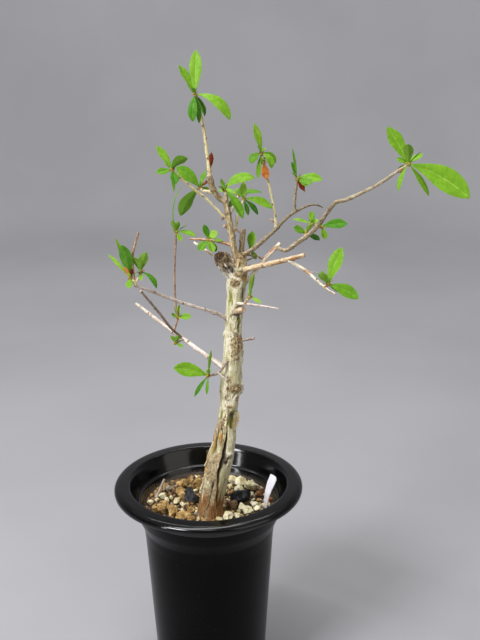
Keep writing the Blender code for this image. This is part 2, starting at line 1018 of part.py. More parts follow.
def make_pot(collection, cutters):
    """The pot: a tapered body, a neck that flares to a broad rim with a turned-down lip, and drain holes."""
    fillet_top = FLOOR + FLOOR_FILLET
    inner = [(0.0, FLOOR), (pot_inside(FLOOR) - FLOOR_FILLET, FLOOR), (pot_inside(fillet_top), fillet_top)]
    inner += [(pot_inside(height), height) for height in (NECK_HEIGHT, *NECK_BENDS, STEP_HEIGHT)]
    mouth = [(MOUTH_RADIUS, POT_HEIGHT - SOFT_EDGE), (MOUTH_RADIUS + 2 * SOFT_EDGE, POT_HEIGHT)]
    lip = [(RIM_RADIUS + out, POT_HEIGHT + up) for out, up in LIP_CROWN]
    lip += [(RIM_RADIUS + out, POT_HEIGHT - LIP_HEIGHT) for out in LIP_FOOT]
    chamfer, chamfer_height = FOOT_CHAMFER
    body = [(NECK_RADIUS, NECK_HEIGHT), (UNDERSIDE_RADIUS, chamfer_height)]
    body += [(UNDERSIDE_RADIUS - chamfer, 0.0), (0.0, 0.0)]
    profile = inner + list(MOUTH_FLARE) + mouth + lip + list(FLARE_UNDERSIDE) + body
    pot = turned("pot", profile, POT_FACETS, collection)
    for number in range(DRAIN_COUNT):
        angle = math.tau * number / DRAIN_COUNT
        bpy.ops.mesh.primitive_cylinder_add(
            vertices=DRAIN_FACETS,
            radius=DRAIN_RADIUS * MM,
            depth=4 * FLOOR * MM,
            location=(DRAIN_RING * MM * math.cos(angle), DRAIN_RING * MM * math.sin(angle), 0.0),
        )
        drill = bpy.context.object
        drill.users_collection[0].objects.unlink(drill)
        cutters.objects.link(drill)
        pot = carved(pot, drill)
    return pot


def soil_bump(x, y):
    """The grit's rise above the soil level: two sets of waves, flat at the wall, the trunk and the label."""
    (broad_x, broad_y), (fine_x, fine_y) = SOIL_WAVES
    waves = math.sin(x / broad_x) * math.cos(y / broad_y) + FINE_WAVE * math.sin(x / fine_x - y / fine_y)
    height = SOIL_ROUGHNESS * waves
    for (cx, cy), radius in ((TRUNK.foot[:2], FLAT_ROUND_TRUNK), (LABEL_FOOT[:2], FLAT_ROUND_LABEL)):
        distance = math.hypot(x - cx, y - cy)
        height *= min(1.0, max(0.0, (distance - radius) / FLAT_FADE))
    return height * min(1.0, max(0.0, (SOIL_EDGE - math.hypot(x, y)) / FLAT_FADE))


def make_soil(collection):
    """The soil that fills the pot, one solid with an uneven gritty top."""
    edge = pot_inside(SOIL_LEVEL) - 2 * GAP
    top = [(edge * ring / SOIL_RINGS, SOIL_LEVEL) for ring in range(SOIL_RINGS + 1)]
    wall = [(pot_inside(h) - 2 * GAP, h) for h in (*reversed(NECK_BENDS), NECK_HEIGHT, FLOOR + 4.0)]
    foot = [(pot_inside(FLOOR) - 5.0, FLOOR + GAP), (0.0, FLOOR + GAP)]
    soil = turned("soil", top + wall + foot, POT_FACETS, collection)
    for vertex in soil.data.vertices:
        if vertex.co.z > (SOIL_LEVEL - 0.5) * MM:
            vertex.co.z += soil_bump(vertex.co.x / MM, vertex.co.y / MM) * MM
    return soil


def make_label(collection):
    """The blank plant label: a thin tapered plate with one clipped corner, standing askew in the soil."""
    half, foot, top = LABEL_WIDTH / 2, LABEL_FOOT_WIDTH / 2, LABEL_LENGTH
    shoulder = top * LABEL_SHOULDER
    outline = ((-foot, 0.0), (foot, 0.0), (half, shoulder), (half, top - LABEL_CORNER))
    outline += ((half - LABEL_CORNER, top), (-half, top), (-half, shoulder))
    curve = bpy.data.curves.new("plant_label", "CURVE")
    curve.dimensions = "2D"
    curve.fill_mode = "BOTH"
    curve.extrude = LABEL_THICKNESS / 2 * MM
    spline = curve.splines.new("POLY")
    spline.points.add(len(outline) - 1)
    spline.use_cyclic_u = True
    for point, (x, y) in zip(spline.points, outline):
        point.co = (x * MM, y * MM, 0.0, 1.0)
    label = object_from("plant_label", curve, collection)
    label.location = [value * MM for value in LABEL_FOOT]
    label.rotation_mode = "XZY"
    label.rotation_euler = (math.radians(90.0), math.radians(LABEL_LEAN), math.radians(LABEL_HEADING))
    return applied(label)


def dress(items, finish):
    """The objects smooth shaded with one material."""
    for item in items:
        item.data.materials.clear()
        item.data.materials.append(finish.material())
        item.data.shade_smooth()
        item.data.set_sharp_from_angle(angle=math.radians(40.0))


def main():
    """Builds the pot with its soil and label, then the trunk and boughs, then the masses of foliage."""
    for item in list(bpy.data.objects):
        bpy.data.objects.remove(item)
    collection = collection_named("potted_myrrh")
    cutters = collection_named("cutters")
    pieces = collection_named("pieces")

    dress([make_pot(collection, cutters)], BLACK_PLASTIC)
    dress([make_soil(collection)], GRIT_SOIL)
    dress([make_label(collection)], WHITE_PLASTIC)

    limbs = {limb.name: limb for limb in (TRUNK, LEADER, *BOUGHS)}
    trunk = tube("trunk", TRUNK, TRUNK_SIDES, collection)
    boughs = []
    for limb in (LEADER, *BOUGHS):
        bough = tube(limb.name, limb, BOUGH_SIDES, collection)
        boughs.append(clear_of_hosts(bough, limb.hosts, limbs, cutters))
    dress([trunk], PALE_BARK)
    dress(boughs, BROWN_BARK)
    dress([grow(mass, limbs, collection, cutters, pieces) for mass in MASSES], GREEN_LEAF)


main()
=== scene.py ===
"""Potted myrrh, dressed: a small leaning shrub with pruned boughs and rosettes of leaves, in a tall flared pot.

Sizes in the classes are millimetres and degrees, and meshes are made in metres. +Z is up, X runs to the right and
Y to the back, and the origin is the centre of the pot's flat underside. A heading is seen from above and runs
anticlockwise: 0 right, 90 back, 180 left, -90 front. A rise is the angle above the horizon.
"""

from __future__ import annotations

import logging
import math
import random
from dataclasses import dataclass, field
from enum import Enum

import bpy
import numpy as np
from mathutils import Matrix, Vector

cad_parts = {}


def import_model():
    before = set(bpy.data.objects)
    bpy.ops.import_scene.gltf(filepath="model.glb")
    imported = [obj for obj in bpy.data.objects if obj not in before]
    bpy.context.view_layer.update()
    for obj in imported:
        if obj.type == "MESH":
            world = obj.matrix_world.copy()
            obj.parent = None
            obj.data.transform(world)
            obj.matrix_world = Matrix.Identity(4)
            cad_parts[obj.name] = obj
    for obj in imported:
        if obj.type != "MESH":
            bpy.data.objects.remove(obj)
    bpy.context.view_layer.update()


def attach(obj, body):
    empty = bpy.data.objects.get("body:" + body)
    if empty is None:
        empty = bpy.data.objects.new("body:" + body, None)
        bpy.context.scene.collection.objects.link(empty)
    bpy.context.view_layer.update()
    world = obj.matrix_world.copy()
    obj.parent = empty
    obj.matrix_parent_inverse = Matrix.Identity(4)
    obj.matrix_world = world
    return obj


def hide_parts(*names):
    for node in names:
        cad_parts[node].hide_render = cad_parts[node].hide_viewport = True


LOG = logging.getLogger("potted_myrrh")
Array = np.ndarray
MM = 0.001  # metres in a millimetre
BODY = "root"


# Shapes


def unit(vectors: Array) -> Array:
    """Vectors scaled to length one."""
    return vectors / np.maximum(np.linalg.norm(vectors, axis=-1, keepdims=True), 1e-12)


def direction(heading: Array | float, rise: Array | float) -> Array:
    """Unit vectors: cos rise times (cos heading, sin heading), with sin rise as height.

    Args:
        heading: Degrees round the vertical, from the x axis towards y.
        rise: Degrees above the level.

    Returns:
        The vectors, along a new last axis.
    """
    turn, lift = np.radians(heading), np.radians(rise)
    level = np.cos(lift)
    return np.stack((level * np.cos(turn), level * np.sin(turn), np.sin(lift) + 0.0 * turn), axis=-1)


def noise(places: Array, grain: float, seed: int) -> Array:
    """Smooth random values from -1 to 1.

    Each corner of a lattice with cells of one grain has its own random number, and a place takes the mix of the
    eight corners round it, weighted along each axis by 3t² - 2t³.

    Args:
        places: Points in millimetres, with x, y and z last.
        grain: The lattice's spacing in millimetres.
        seed: A whole number that picks the random field.

    Returns:
        One value for each point.
    """
    cell = np.floor(places / grain)
    share = places / grain - cell
    share = share * share * (3.0 - 2.0 * share)
    cell = cell.astype(np.int64)
    total = np.zeros(places.shape[:-1])
    for corner in np.ndindex(2, 2, 2):
        key = (cell + np.array(corner)) * np.array((73856093, 19349663, 83492791))
        mixed = (key[..., 0] ^ key[..., 1] ^ key[..., 2] ^ (seed * 2654435761)) & 0xFFFFFFFF
        mixed = ((mixed ^ (mixed >> 15)) * 2246822519) & 0xFFFFFFFF
        mixed = ((mixed ^ (mixed >> 13)) * 3266489917) & 0xFFFFFFFF
        weight = np.prod(np.where(np.array(corner) == 1, share, 1.0 - share), axis=-1)
        total += weight * (((mixed ^ (mixed >> 16)) & 0xFFFF) / 32767.5 - 1.0)
    return total


def grid_faces(rows: int, columns: int, closed: bool = True) -> Array:
    """Corner numbers of a grid's faces, row by row; in a closed grid the last column meets the first.

    Args:
        rows: How many rows of points.
        columns: How many columns.
        closed: Whether the columns go all the way round.

    Returns:
        Four corner numbers for each face.
    """
    i, j = np.meshgrid(np.arange(rows - 1), np.arange(columns if closed else columns - 1), indexing="ij")
    k = (j + 1) % columns
    return np.stack((i * columns + j, i * columns + k, (i + 1) * columns + k, (i + 1) * columns + j), -1).reshape(-1, 4)


@dataclass
class Skin:
    """A surface being made: its points in millimetres, faces, each face's finish, and values at the points."""

    points: Array
    quads: Array
    triangles: Array
    quad_finish: Array
    triangle_finish: Array
    values: dict[str, Array] = field(default_factory=dict)

    @classmethod
    def rings(
        cls, grid: Array, finish: int | Array = 0, caps: int = 0, values: dict[str, Array] | None = None
    ) -> Skin:
        """A closed skin over rings of points, with a fan of triangles over the first and the last ring.

        The rings run anticlockwise as seen from the far end, so that the faces point outwards.

        Args:
            grid: Points in millimetres by ring and by place on the ring.
            finish: The number of the finish on the sides, or one number for each band between two rings.
            caps: The number of the finish on the two fans.
            values: Numbers or vectors at the grid's points, by name.

        Returns:
            The skin.
        """
        rows, columns = grid.shape[:2]
        centres = np.stack((grid[0].mean(axis=0), grid[-1].mean(axis=0)))
        quads = grid_faces(rows, columns)
        j = np.arange(columns)
        k = (j + 1) % columns
        first = np.stack((np.full(columns, rows * columns), k, j), -1)
        base = (rows - 1) * columns
        last = np.stack((np.full(columns, rows * columns + 1), base + j, base + k), -1)
        kept = {}
        for name, number in (values or {}).items():
            ends = np.stack((number[0].mean(axis=0), number[-1].mean(axis=0)))
            kept[name] = np.concatenate((number.reshape(rows * columns, *number.shape[2:]), ends))
        return cls(
            np.concatenate((grid.reshape(-1, 3), centres)),
            quads,
            np.concatenate((first, last)),
            np.repeat(np.broadcast_to(finish, rows - 1), columns),
            np.full(2 * columns, caps),
            kept,
        )

    @classmethod
    def many(cls, grids: Array, column_finish: Array, finish: Array) -> Skin:
        """Closed skins over a batch of grids that have the same number of points.

        The first place on a ring is one edge of the shape and the middle one is the other edge, so that the flat
        ends close with a triangle at each edge and faces of four corners between.

        Args:
            grids: Points in millimetres by shape, ring and place on the ring.
            column_finish: What each column of faces adds to its shape's finish.
            finish: The number of the finish of each shape.

        Returns:
            One skin for the whole batch.
        """
        count, rows, columns = grids.shape[:3]
        size = rows * columns
        start = np.arange(count)[:, None, None] * size
        quads = (grid_faces(rows, columns)[None] + start).reshape(-1, 4)
        half = columns // 2
        j = np.arange(1, half - 1)
        base = (rows - 1) * columns
        flat = np.stack((j, j + 1, columns - 1 - j, columns - j), -1)
        tips = np.array(((0, 1, columns - 1), (half - 1, half, half + 1)))
        flats = (np.concatenate((flat[:, ::-1], flat + base))[None] + start).reshape(-1, 4)
        side = (finish[:, None, None] + np.tile(column_finish, (rows - 1, 1))[None]).reshape(-1)
        return cls(
            grids.reshape(-1, 3),
            np.concatenate((quads, flats)),
            (np.concatenate((tips[:, ::-1], tips + base))[None] + start).reshape(-1, 3),
            np.concatenate((side, np.repeat(finish, 2 * len(flat)))),
            np.repeat(finish, 4),
        )

    @classmethod
    def joined(cls, skins: list[Skin]) -> Skin:
        """Several skins as one, with their faces renumbered.

        Args:
            skins: The skins to join.

        Returns:
            The joined skin.
        """
        starts = np.cumsum([0] + [len(skin.points) for skin in skins[:-1]])
        names = {name for skin in skins for name in skin.values}
        return cls(
            np.concatenate([skin.points for skin in skins]),
            np.concatenate([skin.quads + start for skin, start in zip(skins, starts)]),
            np.concatenate([skin.triangles + start for skin, start in zip(skins, starts)]),
            np.concatenate([skin.quad_finish for skin in skins]),
            np.concatenate([skin.triangle_finish for skin in skins]),
            {name: np.concatenate([skin.values[name] for skin in skins]) for name in sorted(names)},
        )

    def piece(self, name: str, finishes: list[bpy.types.Material], sharp: float = 50.0) -> bpy.types.Object:
        """The skin as a mesh object at the origin.

        Args:
            name: The piece's name.
            finishes: Its materials, in the order of the finish numbers.
            sharp: Edges that turn by more than this many degrees stay crisp.

        Returns:
            The new object, linked to the scene.
        """
        mesh = bpy.data.meshes.new(name)
        corners = np.concatenate((self.quads.ravel(), self.triangles.ravel())).astype(np.int32)
        quads, triangles = len(self.quads), len(self.triangles)
        starts = np.concatenate((np.arange(quads) * 4, quads * 4 + np.arange(triangles) * 3)).astype(np.int32)
        mesh.vertices.add(len(self.points))
        mesh.vertices.foreach_set("co", (self.points * MM).astype(np.float32).ravel())
        mesh.loops.add(len(corners))
        mesh.loops.foreach_set("vertex_index", corners)
        mesh.polygons.add(len(starts))
        mesh.polygons.foreach_set("loop_start", starts)
        finish = np.concatenate((self.quad_finish, self.triangle_finish)).astype(np.int32)
        for material in finishes:
            mesh.materials.append(material)
        mesh.polygons.foreach_set("material_index", finish)
        for label, numbers in self.values.items():
            kind, slot = ("FLOAT", "value") if numbers.ndim == 1 else ("FLOAT_VECTOR", "vector")
            mesh.attributes.new(label, kind, "POINT").data.foreach_set(slot, numbers.astype(np.float32).ravel())
        mesh.update(calc_edges=True)
        mesh.shade_smooth()
        mesh.set_sharp_from_angle(angle=math.radians(sharp))
        item = bpy.data.objects.new(name, mesh)
        bpy.context.scene.collection.objects.link(item)
        return item


# Finishes


def linear(code: str) -> tuple[float, float, float, float]:
    """An sRGB hex colour as linear RGB with full alpha."""
    values = [int(code[i : i + 2], 16) / 255.0 for i in (1, 3, 5)]
    return (*[v / 12.92 if v <= 0.04045 else ((v + 0.055) / 1.055) ** 2.4 for v in values], 1.0)


def add(
    tree: bpy.types.NodeTree,
    kind: str,
    inputs: dict[str | int, object] | None = None,
    stops: tuple[tuple[float, str], ...] = (),
    **settings: object,
) -> bpy.types.Node:
    """Adds one node with its settings and links.

    Args:
        tree: The material's node tree.
        kind: The node's type, without the leading ShaderNode.
        inputs: A value or another node's socket for each input, by name or number.
        stops: For a colour ramp, the place and hex colour of each stop.
        **settings: Properties of the node itself.

    Returns:
        The new node.
    """
    node = tree.nodes.new("ShaderNode" + kind)
    for name, value in settings.items():
        setattr(node, name, value)
    for name, value in (inputs or {}).items():
        if isinstance(value, bpy.types.NodeSocket):
            tree.links.new(value, node.inputs[name])
        else:
            node.inputs[name].default_value = value
    for place, _ in stops[2:]:
        node.color_ramp.elements.new(place)
    for number, (place, code) in enumerate(stops):
        node.color_ramp.elements[number].position = place
        node.color_ramp.elements[number].color = linear(code)
    return node


@dataclass(frozen=True)
class Finish:
    """A named finish, its gloss, and the node material it makes once."""

    name: str
    roughness: float
    ior: float
    shine: float = field(default=0.5, kw_only=True)  # how strong its mirror is, where 0.5 is what the IOR gives

    def paint(self, tree: bpy.types.NodeTree, shader: bpy.types.Node) -> None:
        """Adds the nodes that give the finish its colour and relief."""
        raise NotImplementedError

    def material(self) -> bpy.types.Material:
        """The finish as a material, made on the first call and found by its name after that.

        Returns:
            The material.
        """
        made = bpy.data.materials.get(self.name)
        if made is None:
            made = bpy.data.materials.new(self.name)
            made.use_nodes = True
            shader = made.node_tree.nodes["Principled BSDF"]
            shader.inputs["Roughness"].default_value = self.roughness
            shader.inputs["IOR"].default_value = self.ior
            shader.inputs["Specular IOR Level"].default_value = self.shine
            self.paint(made.node_tree, shader)
        return made


@dataclass(frozen=True)
class MouldedPolypropylene(Finish):
    """Injection moulded polypropylene with carbon black: deep black, with crisp highlights on a faint orange peel."""

    deep: str = "#020202"
    worn: str = "#070708"
    dust: str = "#6e6558"
    peel: float = 1.8  # mm between the orange peel's swells

    def paint(self, tree: bpy.types.NodeTree, shader: bpy.types.Node) -> None:
        """Handled patches, stray specks, dust where the attribute says, uneven gloss and a shallow peel.

        Args:
            tree: The material's node tree.
            shader: Its shader node.
        """
        place = add(tree, "TexCoord").outputs["Object"]
        handled = add(tree, "TexNoise", {"Vector": place, "Scale": 1000.0 / 45.0, "Detail": 5.0}).outputs["Fac"]
        base = add(tree, "ValToRGB", {"Fac": handled}, ((0.3, self.deep), (0.75, self.worn))).outputs["Color"]
        specks = add(tree, "TexNoise", {"Vector": place, "Scale": 1000.0 / 1.4, "Detail": 6.0}).outputs["Fac"]
        film = add(tree, "Attribute", attribute_name="dust").outputs["Fac"]
        near = add(tree, "Math", {0: specks, 1: film}, operation="MULTIPLY").outputs[0]
        dusty = add(tree, "MapRange", {"Value": near, "From Min": 0.18, "From Max": 0.7, "To Max": 0.6}).outputs[0]
        stray = add(tree, "MapRange", {"Value": specks, "From Min": 0.69, "From Max": 0.74, "To Max": 0.25}).outputs[0]
        dusty = add(tree, "Math", {0: dusty, 1: stray}, operation="MAXIMUM").outputs[0]
        mixed = add(tree, "Mix", {"Factor": dusty, 6: base, 7: linear(self.dust)}, data_type="RGBA").outputs[2]
        tree.links.new(mixed, shader.inputs["Base Color"])
        gloss = add(tree, "MapRange", {"Value": handled, "To Min": self.roughness - 0.04, "To Max": self.roughness + 0.1})
        rough = add(tree, "Math", {0: gloss.outputs[0], 1: dusty}, operation="ADD").outputs[0]
        tree.links.new(rough, shader.inputs["Roughness"])
        swell = add(tree, "TexNoise", {"Vector": place, "Scale": 1000.0 / self.peel, "Detail": 2.0}).outputs["Fac"]
        bump = add(tree, "Bump", {"Strength": 0.05, "Distance": 0.0003, "Height": swell}).outputs["Normal"]
        tree.links.new(bump, shader.inputs["Normal"])


@dataclass(frozen=True)
class LabelStyrene(Finish):
    """Die-cut white polystyrene sheet: a soft even sheen, a little earth at its foot."""

    white: str = "#eceaf0"
    shade: str = "#dbd8e0"
    earth: str = "#b79f78"

    def paint(self, tree: bpy.types.NodeTree, shader: bpy.types.Node) -> None:
        """Two near whites with fine scuffs, and a brown stain that fades up from the soil.

        Args:
            tree: The material's node tree.
            shader: Its shader node.
        """
        place = add(tree, "TexCoord").outputs["Object"]
        scuff = add(tree, "TexNoise", {"Vector": place, "Scale": 1000.0 / 5.0, "Detail": 6.0}).outputs["Fac"]
        base = add(tree, "ValToRGB", {"Fac": scuff}, ((0.35, self.shade), (0.65, self.white))).outputs["Color"]
        foot = add(tree, "Attribute", attribute_name="earth").outputs["Fac"]
        stain = add(tree, "Math", {0: foot, 1: scuff}, operation="MULTIPLY").outputs[0]
        mixed = add(tree, "Mix", {"Factor": stain, 6: base, 7: linear(self.earth)}, data_type="RGBA").outputs[2]
        tree.links.new(mixed, shader.inputs["Base Color"])
        shader.inputs["Subsurface Weight"].default_value = 0.3
        shader.inputs["Subsurface Radius"].default_value = (1.0, 1.0, 1.0)
        shader.inputs["Subsurface Scale"].default_value = 0.002
        bump = add(tree, "Bump", {"Strength": 0.08, "Distance": 0.0002, "Height": scuff}).outputs["Normal"]
        tree.links.new(bump, shader.inputs["Normal"])


@dataclass(frozen=True)
class LivingBark(Finish):
    """Thin resinous bark: dull fibres that run with the limb, pale on the ridges, dark in the cracks and the deep
    relief, where the dark is partly its own and partly painted shade.
    """

    # the cracks' darker bark, which also serves as painted shade over all deep relief
    crack: str = "#2e2116"
    shade: str = "#9f936c"
    base: str = "#cfc69c"
    ridge: str = "#f8f1d8"
    stain: str = "#9a9658"  # thin green bark, or another layer that shows in patches
    scab: str = "#3f2d1d"  # corky brown
    crumb: str = "#c9b080"  # the corky places' pale crumbs
    fibre: float = 1.2  # mm across a fibre
    patch: float = 7.0  # mm across a patch of stain
    stained: float = 0.5
    fleck: float = 0.2  # share of the grain that is flecks and not fibres

    def paint(self, tree: bpy.types.NodeTree, shader: bpy.types.Node) -> None:
        """Fibres, patches and cracks, with corky, rusty, ochre and green places where the attributes say.

        Args:
            tree: The material's node tree.
            shader: Its shader node.
        """
        run = add(tree, "Attribute", attribute_name="grain").outputs["Vector"]
        fine = add(tree, "TexNoise", {"Vector": run, "Scale": 1.0 / self.fibre, "Detail": 6.0, "Roughness": 0.68})
        solid = add(tree, "TexCoord").outputs["Object"]
        flecks = add(tree, "TexNoise", {"Vector": solid, "Scale": 1000.0 / 1.1, "Detail": 6.0, "Roughness": 0.7})
        inputs = {"Factor": self.fleck, 2: fine.outputs["Fac"], 3: flecks.outputs["Fac"]}
        fine = add(tree, "Mix", inputs, data_type="FLOAT").outputs[0]
        wide = add(tree, "TexNoise", {"Vector": run, "Scale": 1.0 / self.patch, "Detail": 4.0, "Roughness": 0.6})
        stops = ((0.37, self.shade), (0.48, self.base), (0.59, self.ridge))
        colour = add(tree, "ValToRGB", {"Fac": fine}, stops).outputs["Color"]
        names = ("pale", "green", "rust", "ochre", "scab")
        shares = {name: add(tree, "Attribute", attribute_name=name).outputs["Fac"] for name in names}
        inputs = {"Value": wide.outputs["Fac"], "From Min": 0.5, "From Max": 0.56, "To Max": self.stained}
        shares["stain"] = add(tree, "MapRange", inputs).outputs[0]
        lumps = add(tree, "TexNoise", {"Vector": solid, "Scale": 1000.0 / 1.6, "Detail": 5.0, "Roughness": 0.6})
        lumps = lumps.outputs["Fac"]
        for name, pattern, dark, light in (
            ("pale", fine, self.ridge, "#faf5e4"),
            ("stain", fine, self.stain, self.stain),
            ("green", fine, "#5c6420", "#a3a348"),
            ("rust", fine, "#4c2d16", "#a97840"),
            ("ochre", fine, "#8c5a22", "#dcb25e"),
            ("scab", lumps, self.scab, self.crumb),
        ):
            low, high = (0.34, 0.68) if name == "scab" else (0.4, 0.6)
            tone = add(tree, "ValToRGB", {"Fac": pattern}, ((low, dark), (high, light))).outputs["Color"]
            colour = add(tree, "Mix", {"Factor": shares[name], 6: colour, 7: tone}, data_type="RGBA").outputs[2]
        # partly painted shade, partly the cracks' darker bark: the deeper the relief, the nearer the colour comes to
        # the crack colour
        relief = add(tree, "Attribute", attribute_name="relief").outputs["Fac"]
        deep = add(tree, "MapRange", {"Value": relief, "From Min": -0.25, "From Max": -0.9, "To Max": 0.92}).outputs[0]
        inputs = {"Factor": deep, 6: colour, 7: linear(self.crack)}
        tree.links.new(add(tree, "Mix", inputs, data_type="RGBA").outputs[2], shader.inputs["Base Color"])
        grit = add(tree, "TexNoise", {"Vector": run, "Scale": 3.0 / self.fibre, "Detail": 6.0, "Roughness": 0.7})
        height = add(tree, "Math", {0: fine, 1: grit.outputs["Fac"]}, operation="ADD").outputs[0]
        bump = add(tree, "Bump", {"Strength": 0.9, "Distance": 0.0005, "Height": height}).outputs["Normal"]
        tree.links.new(bump, shader.inputs["Normal"])


@dataclass(frozen=True)
class CutWood(Finish):
    """Sawn end grain of a dried pruning cut: tan, rough, with brown rot in the middle."""

    tan: str = "#cfa78a"
    pale: str = "#ecd3b2"
    dark: str = "#8a6448"

    def paint(self, tree: bpy.types.NodeTree, shader: bpy.types.Node) -> None:
        """Tan wood with darker specks, roughened by the blade.

        Args:
            tree: The material's node tree.
            shader: Its shader node.
        """
        place = add(tree, "TexCoord").outputs["Object"]
        speck = add(tree, "TexNoise", {"Vector": place, "Scale": 1000.0 / 1.1, "Detail": 6.0}).outputs["Fac"]
        stops = ((0.3, self.dark), (0.5, self.tan), (0.7, self.pale))
        colour = add(tree, "ValToRGB", {"Fac": speck}, stops).outputs["Color"]
        tree.links.new(colour, shader.inputs["Base Color"])
        bump = add(tree, "Bump", {"Strength": 0.6, "Distance": 0.0003, "Height": speck}).outputs["Normal"]
        tree.links.new(bump, shader.inputs["Normal"])


@dataclass(frozen=True)
class Mineral(Finish):
    """A kind of potting grit: porous, without any sheen, mottled by its grains."""

    dark: str
    base: str
    light: str
    pore: float = 0.8  # mm across a pore

    def paint(self, tree: bpy.types.NodeTree, shader: bpy.types.Node) -> None:
        """Mottling from lump to lump and from pore to pore, with pitted relief.

        Args:
            tree: The material's node tree.
            shader: Its shader node.
        """
        place = add(tree, "TexCoord").outputs["Object"]
        lump = add(tree, "TexNoise", {"Vector": place, "Scale": 1000.0 / 5.0, "Detail": 2.0}).outputs["Fac"]
        pore = add(tree, "TexNoise", {"Vector": place, "Scale": 1000.0 / self.pore, "Detail": 5.0, "Roughness": 0.65})
        pore = pore.outputs["Fac"]
        mixed = add(tree, "Mix", {"Factor": 0.5, 2: lump, 3: pore}, data_type="FLOAT").outputs[0]
        stops = ((0.4, self.dark), (0.5, self.base), (0.58, self.light))
        colour = add(tree, "ValToRGB", {"Fac": mixed}, stops).outputs["Color"]
        tree.links.new(colour, shader.inputs["Base Color"])
        bump = add(tree, "Bump", {"Strength": 1.0, "Distance": 0.0008, "Height": pore}).outputs["Normal"]
        tree.links.new(bump, shader.inputs["Normal"])


@dataclass(frozen=True)
class Blade(Finish):
    """Living leaf: a thin waxy skin over a plain green, with a little light scattered inside."""

    light: str
    dark: str
    scatter: float = 0.1

    def paint(self, tree: bpy.types.NodeTree, shader: bpy.types.Node) -> None:
        """Two close greens in soft patches, and a fine grained skin.

        Args:
            tree: The material's node tree.
            shader: Its shader node.
        """
        place = add(tree, "TexCoord").outputs["Object"]
        cloud = add(tree, "TexNoise", {"Vector": place, "Scale": 1000.0 / 3.0, "Detail": 6.0, "Roughness": 0.62})
        cloud = cloud.outputs["Fac"]
        colour = add(tree, "ValToRGB", {"Fac": cloud}, ((0.4, self.dark), (0.6, self.light))).outputs["Color"]
        tree.links.new(colour, shader.inputs["Base Color"])
        shader.inputs["Subsurface Weight"].default_value = self.scatter
        shader.inputs["Subsurface Radius"].default_value = (0.4, 1.0, 0.1)
        shader.inputs["Subsurface Scale"].default_value = 0.0008
        bump = add(tree, "Bump", {"Strength": 0.5, "Distance": 0.0003, "Height": cloud}).outputs["Normal"]
        tree.links.new(bump, shader.inputs["Normal"])


@dataclass(frozen=True)
class StudioPaper(Finish):
    """A pale seamless paper sweep, evenly matt."""

    light: str = "#a5a5a8"
    shade: str = "#9f9fa2"

    def paint(self, tree: bpy.types.NodeTree, shader: bpy.types.Node) -> None:
        """Two close greys in slow clouds.

        Args:
            tree: The material's node tree.
            shader: Its shader node.
        """
        place = add(tree, "TexCoord").outputs["Object"]
        cloud = add(tree, "TexNoise", {"Vector": place, "Scale": 2.0, "Detail": 3.0}).outputs["Fac"]
        colour = add(tree, "ValToRGB", {"Fac": cloud}, ((0.4, self.shade), (0.6, self.light))).outputs["Color"]
        tree.links.new(colour, shader.inputs["Base Color"])


# Limbs


class Bark(Enum):
    """How a limb's bark looks: its age and colour."""

    TRUNK = "old"
    GREY = "striated"
    ROSE = "ashen and pinkish"
    CREAM = "cream with orange-brown patches"
    BROWN = "brown"
    PLUM = "grey-brown"
    TAN = "tan"
    ROTTEN = "rotten"
    STRAW = "young and straw-coloured"
    RUSSET = "young and reddish"


BARKS = {
    Bark.TRUNK: LivingBark("papery_trunk_bark", 0.8, 1.5, fleck=0.42),
    Bark.GREY: LivingBark(
        "striated_leader_bark", 0.8, 1.5, "#281d12", "#5c4a2f", "#917a50", "#dccaa2", "#7c693e", fibre=0.6, patch=4.0
    ),
    Bark.ROSE: LivingBark(
        "ashen_bough_bark", 0.75, 1.5, "#5c483e", "#ab9586", "#d3c2b4", "#efe6dc", "#9a7c68", fibre=0.5, patch=4.0
    ),
    Bark.CREAM: LivingBark(
        "cream_bough_bark", 0.75, 1.5, "#6a4628", "#cdbb98", "#e8ddc0", "#f8f2e0", "#b3723a", fibre=0.5, patch=3.5, stained=0.9
    ),
    Bark.BROWN: LivingBark(
        "brown_bough_bark", 0.75, 1.5, "#30241c", "#5d4b3f", "#857263", "#b5a28e", "#6d5142", fibre=0.45, patch=4.0
    ),
    Bark.PLUM: LivingBark(
        "greybrown_bough_bark", 0.7, 1.5, "#241a13", "#493a2b", "#7d6950", "#cdbb95", "#8f7f50", fibre=0.45, patch=4.0
    ),
    Bark.TAN: LivingBark(
        "tan_bough_bark", 0.75, 1.5, "#4e321e", "#8f7048", "#c2a379", "#eadab8", "#99602f", fibre=0.6, patch=4.0, stained=0.85
    ),
    Bark.ROTTEN: LivingBark(
        "rotten_knob_bark", 0.95, 1.5, "#120d0a", "#3a2b21", "#66503c", "#c2ae8c", "#33281f", fibre=0.7, patch=2.5
    ),
    Bark.STRAW: LivingBark(
        "straw_twig_bark", 0.6, 1.5, "#8a6a3c", "#dcc47e", "#f4e2a0", "#fff8d2", "#d4b26a", fibre=0.5, patch=3.0
    ),
    Bark.RUSSET: LivingBark(
        "russet_twig_bark", 0.6, 1.5, "#4a2e1c", "#7e5438", "#a1744e", "#cfa87e", "#6e4028", fibre=0.5, patch=3.0
    ),
}


class End(Enum):
    """How a limb's far end is finished."""

    CUT = "flat pruning cut, a little dished"
    DEAD = "hollow, rotted back inside its rim"
    TIP = "rounded tip"


BLEACH_AND_PAINTED_LIGHT_WAY = (-0.5, -0.35, 0.79)  # the way the key light comes from: the bark is paler towards it, partly bleached by weather and partly painted highlight
PALEST = {Bark.ROSE: 0.6, Bark.CREAM: 0.6, Bark.STRAW: 0.8, Bark.TAN: 0.2, Bark.PLUM: 0.35}  # how pale their pale places turn, the painted highlight on the side towards the key light among them

END_RINGS = {
    End.CUT: ((0.97, 0.09), (0.9, 0.13), (0.6, 0.08), (0.3, 0.02)),
    End.DEAD: ((0.94, 0.14), (0.8, 0.10), (0.66, -0.35), (0.45, -0.6), (0.2, -0.7)),
    End.TIP: ((0.9, 0.42), (0.7, 0.7), (0.38, 0.92)),
}


@dataclass(frozen=True)
class Run:
    """One straight run of a limb, and the limb's radius at the run's end."""

    length: float
    heading: float
    rise: float
    radius: float


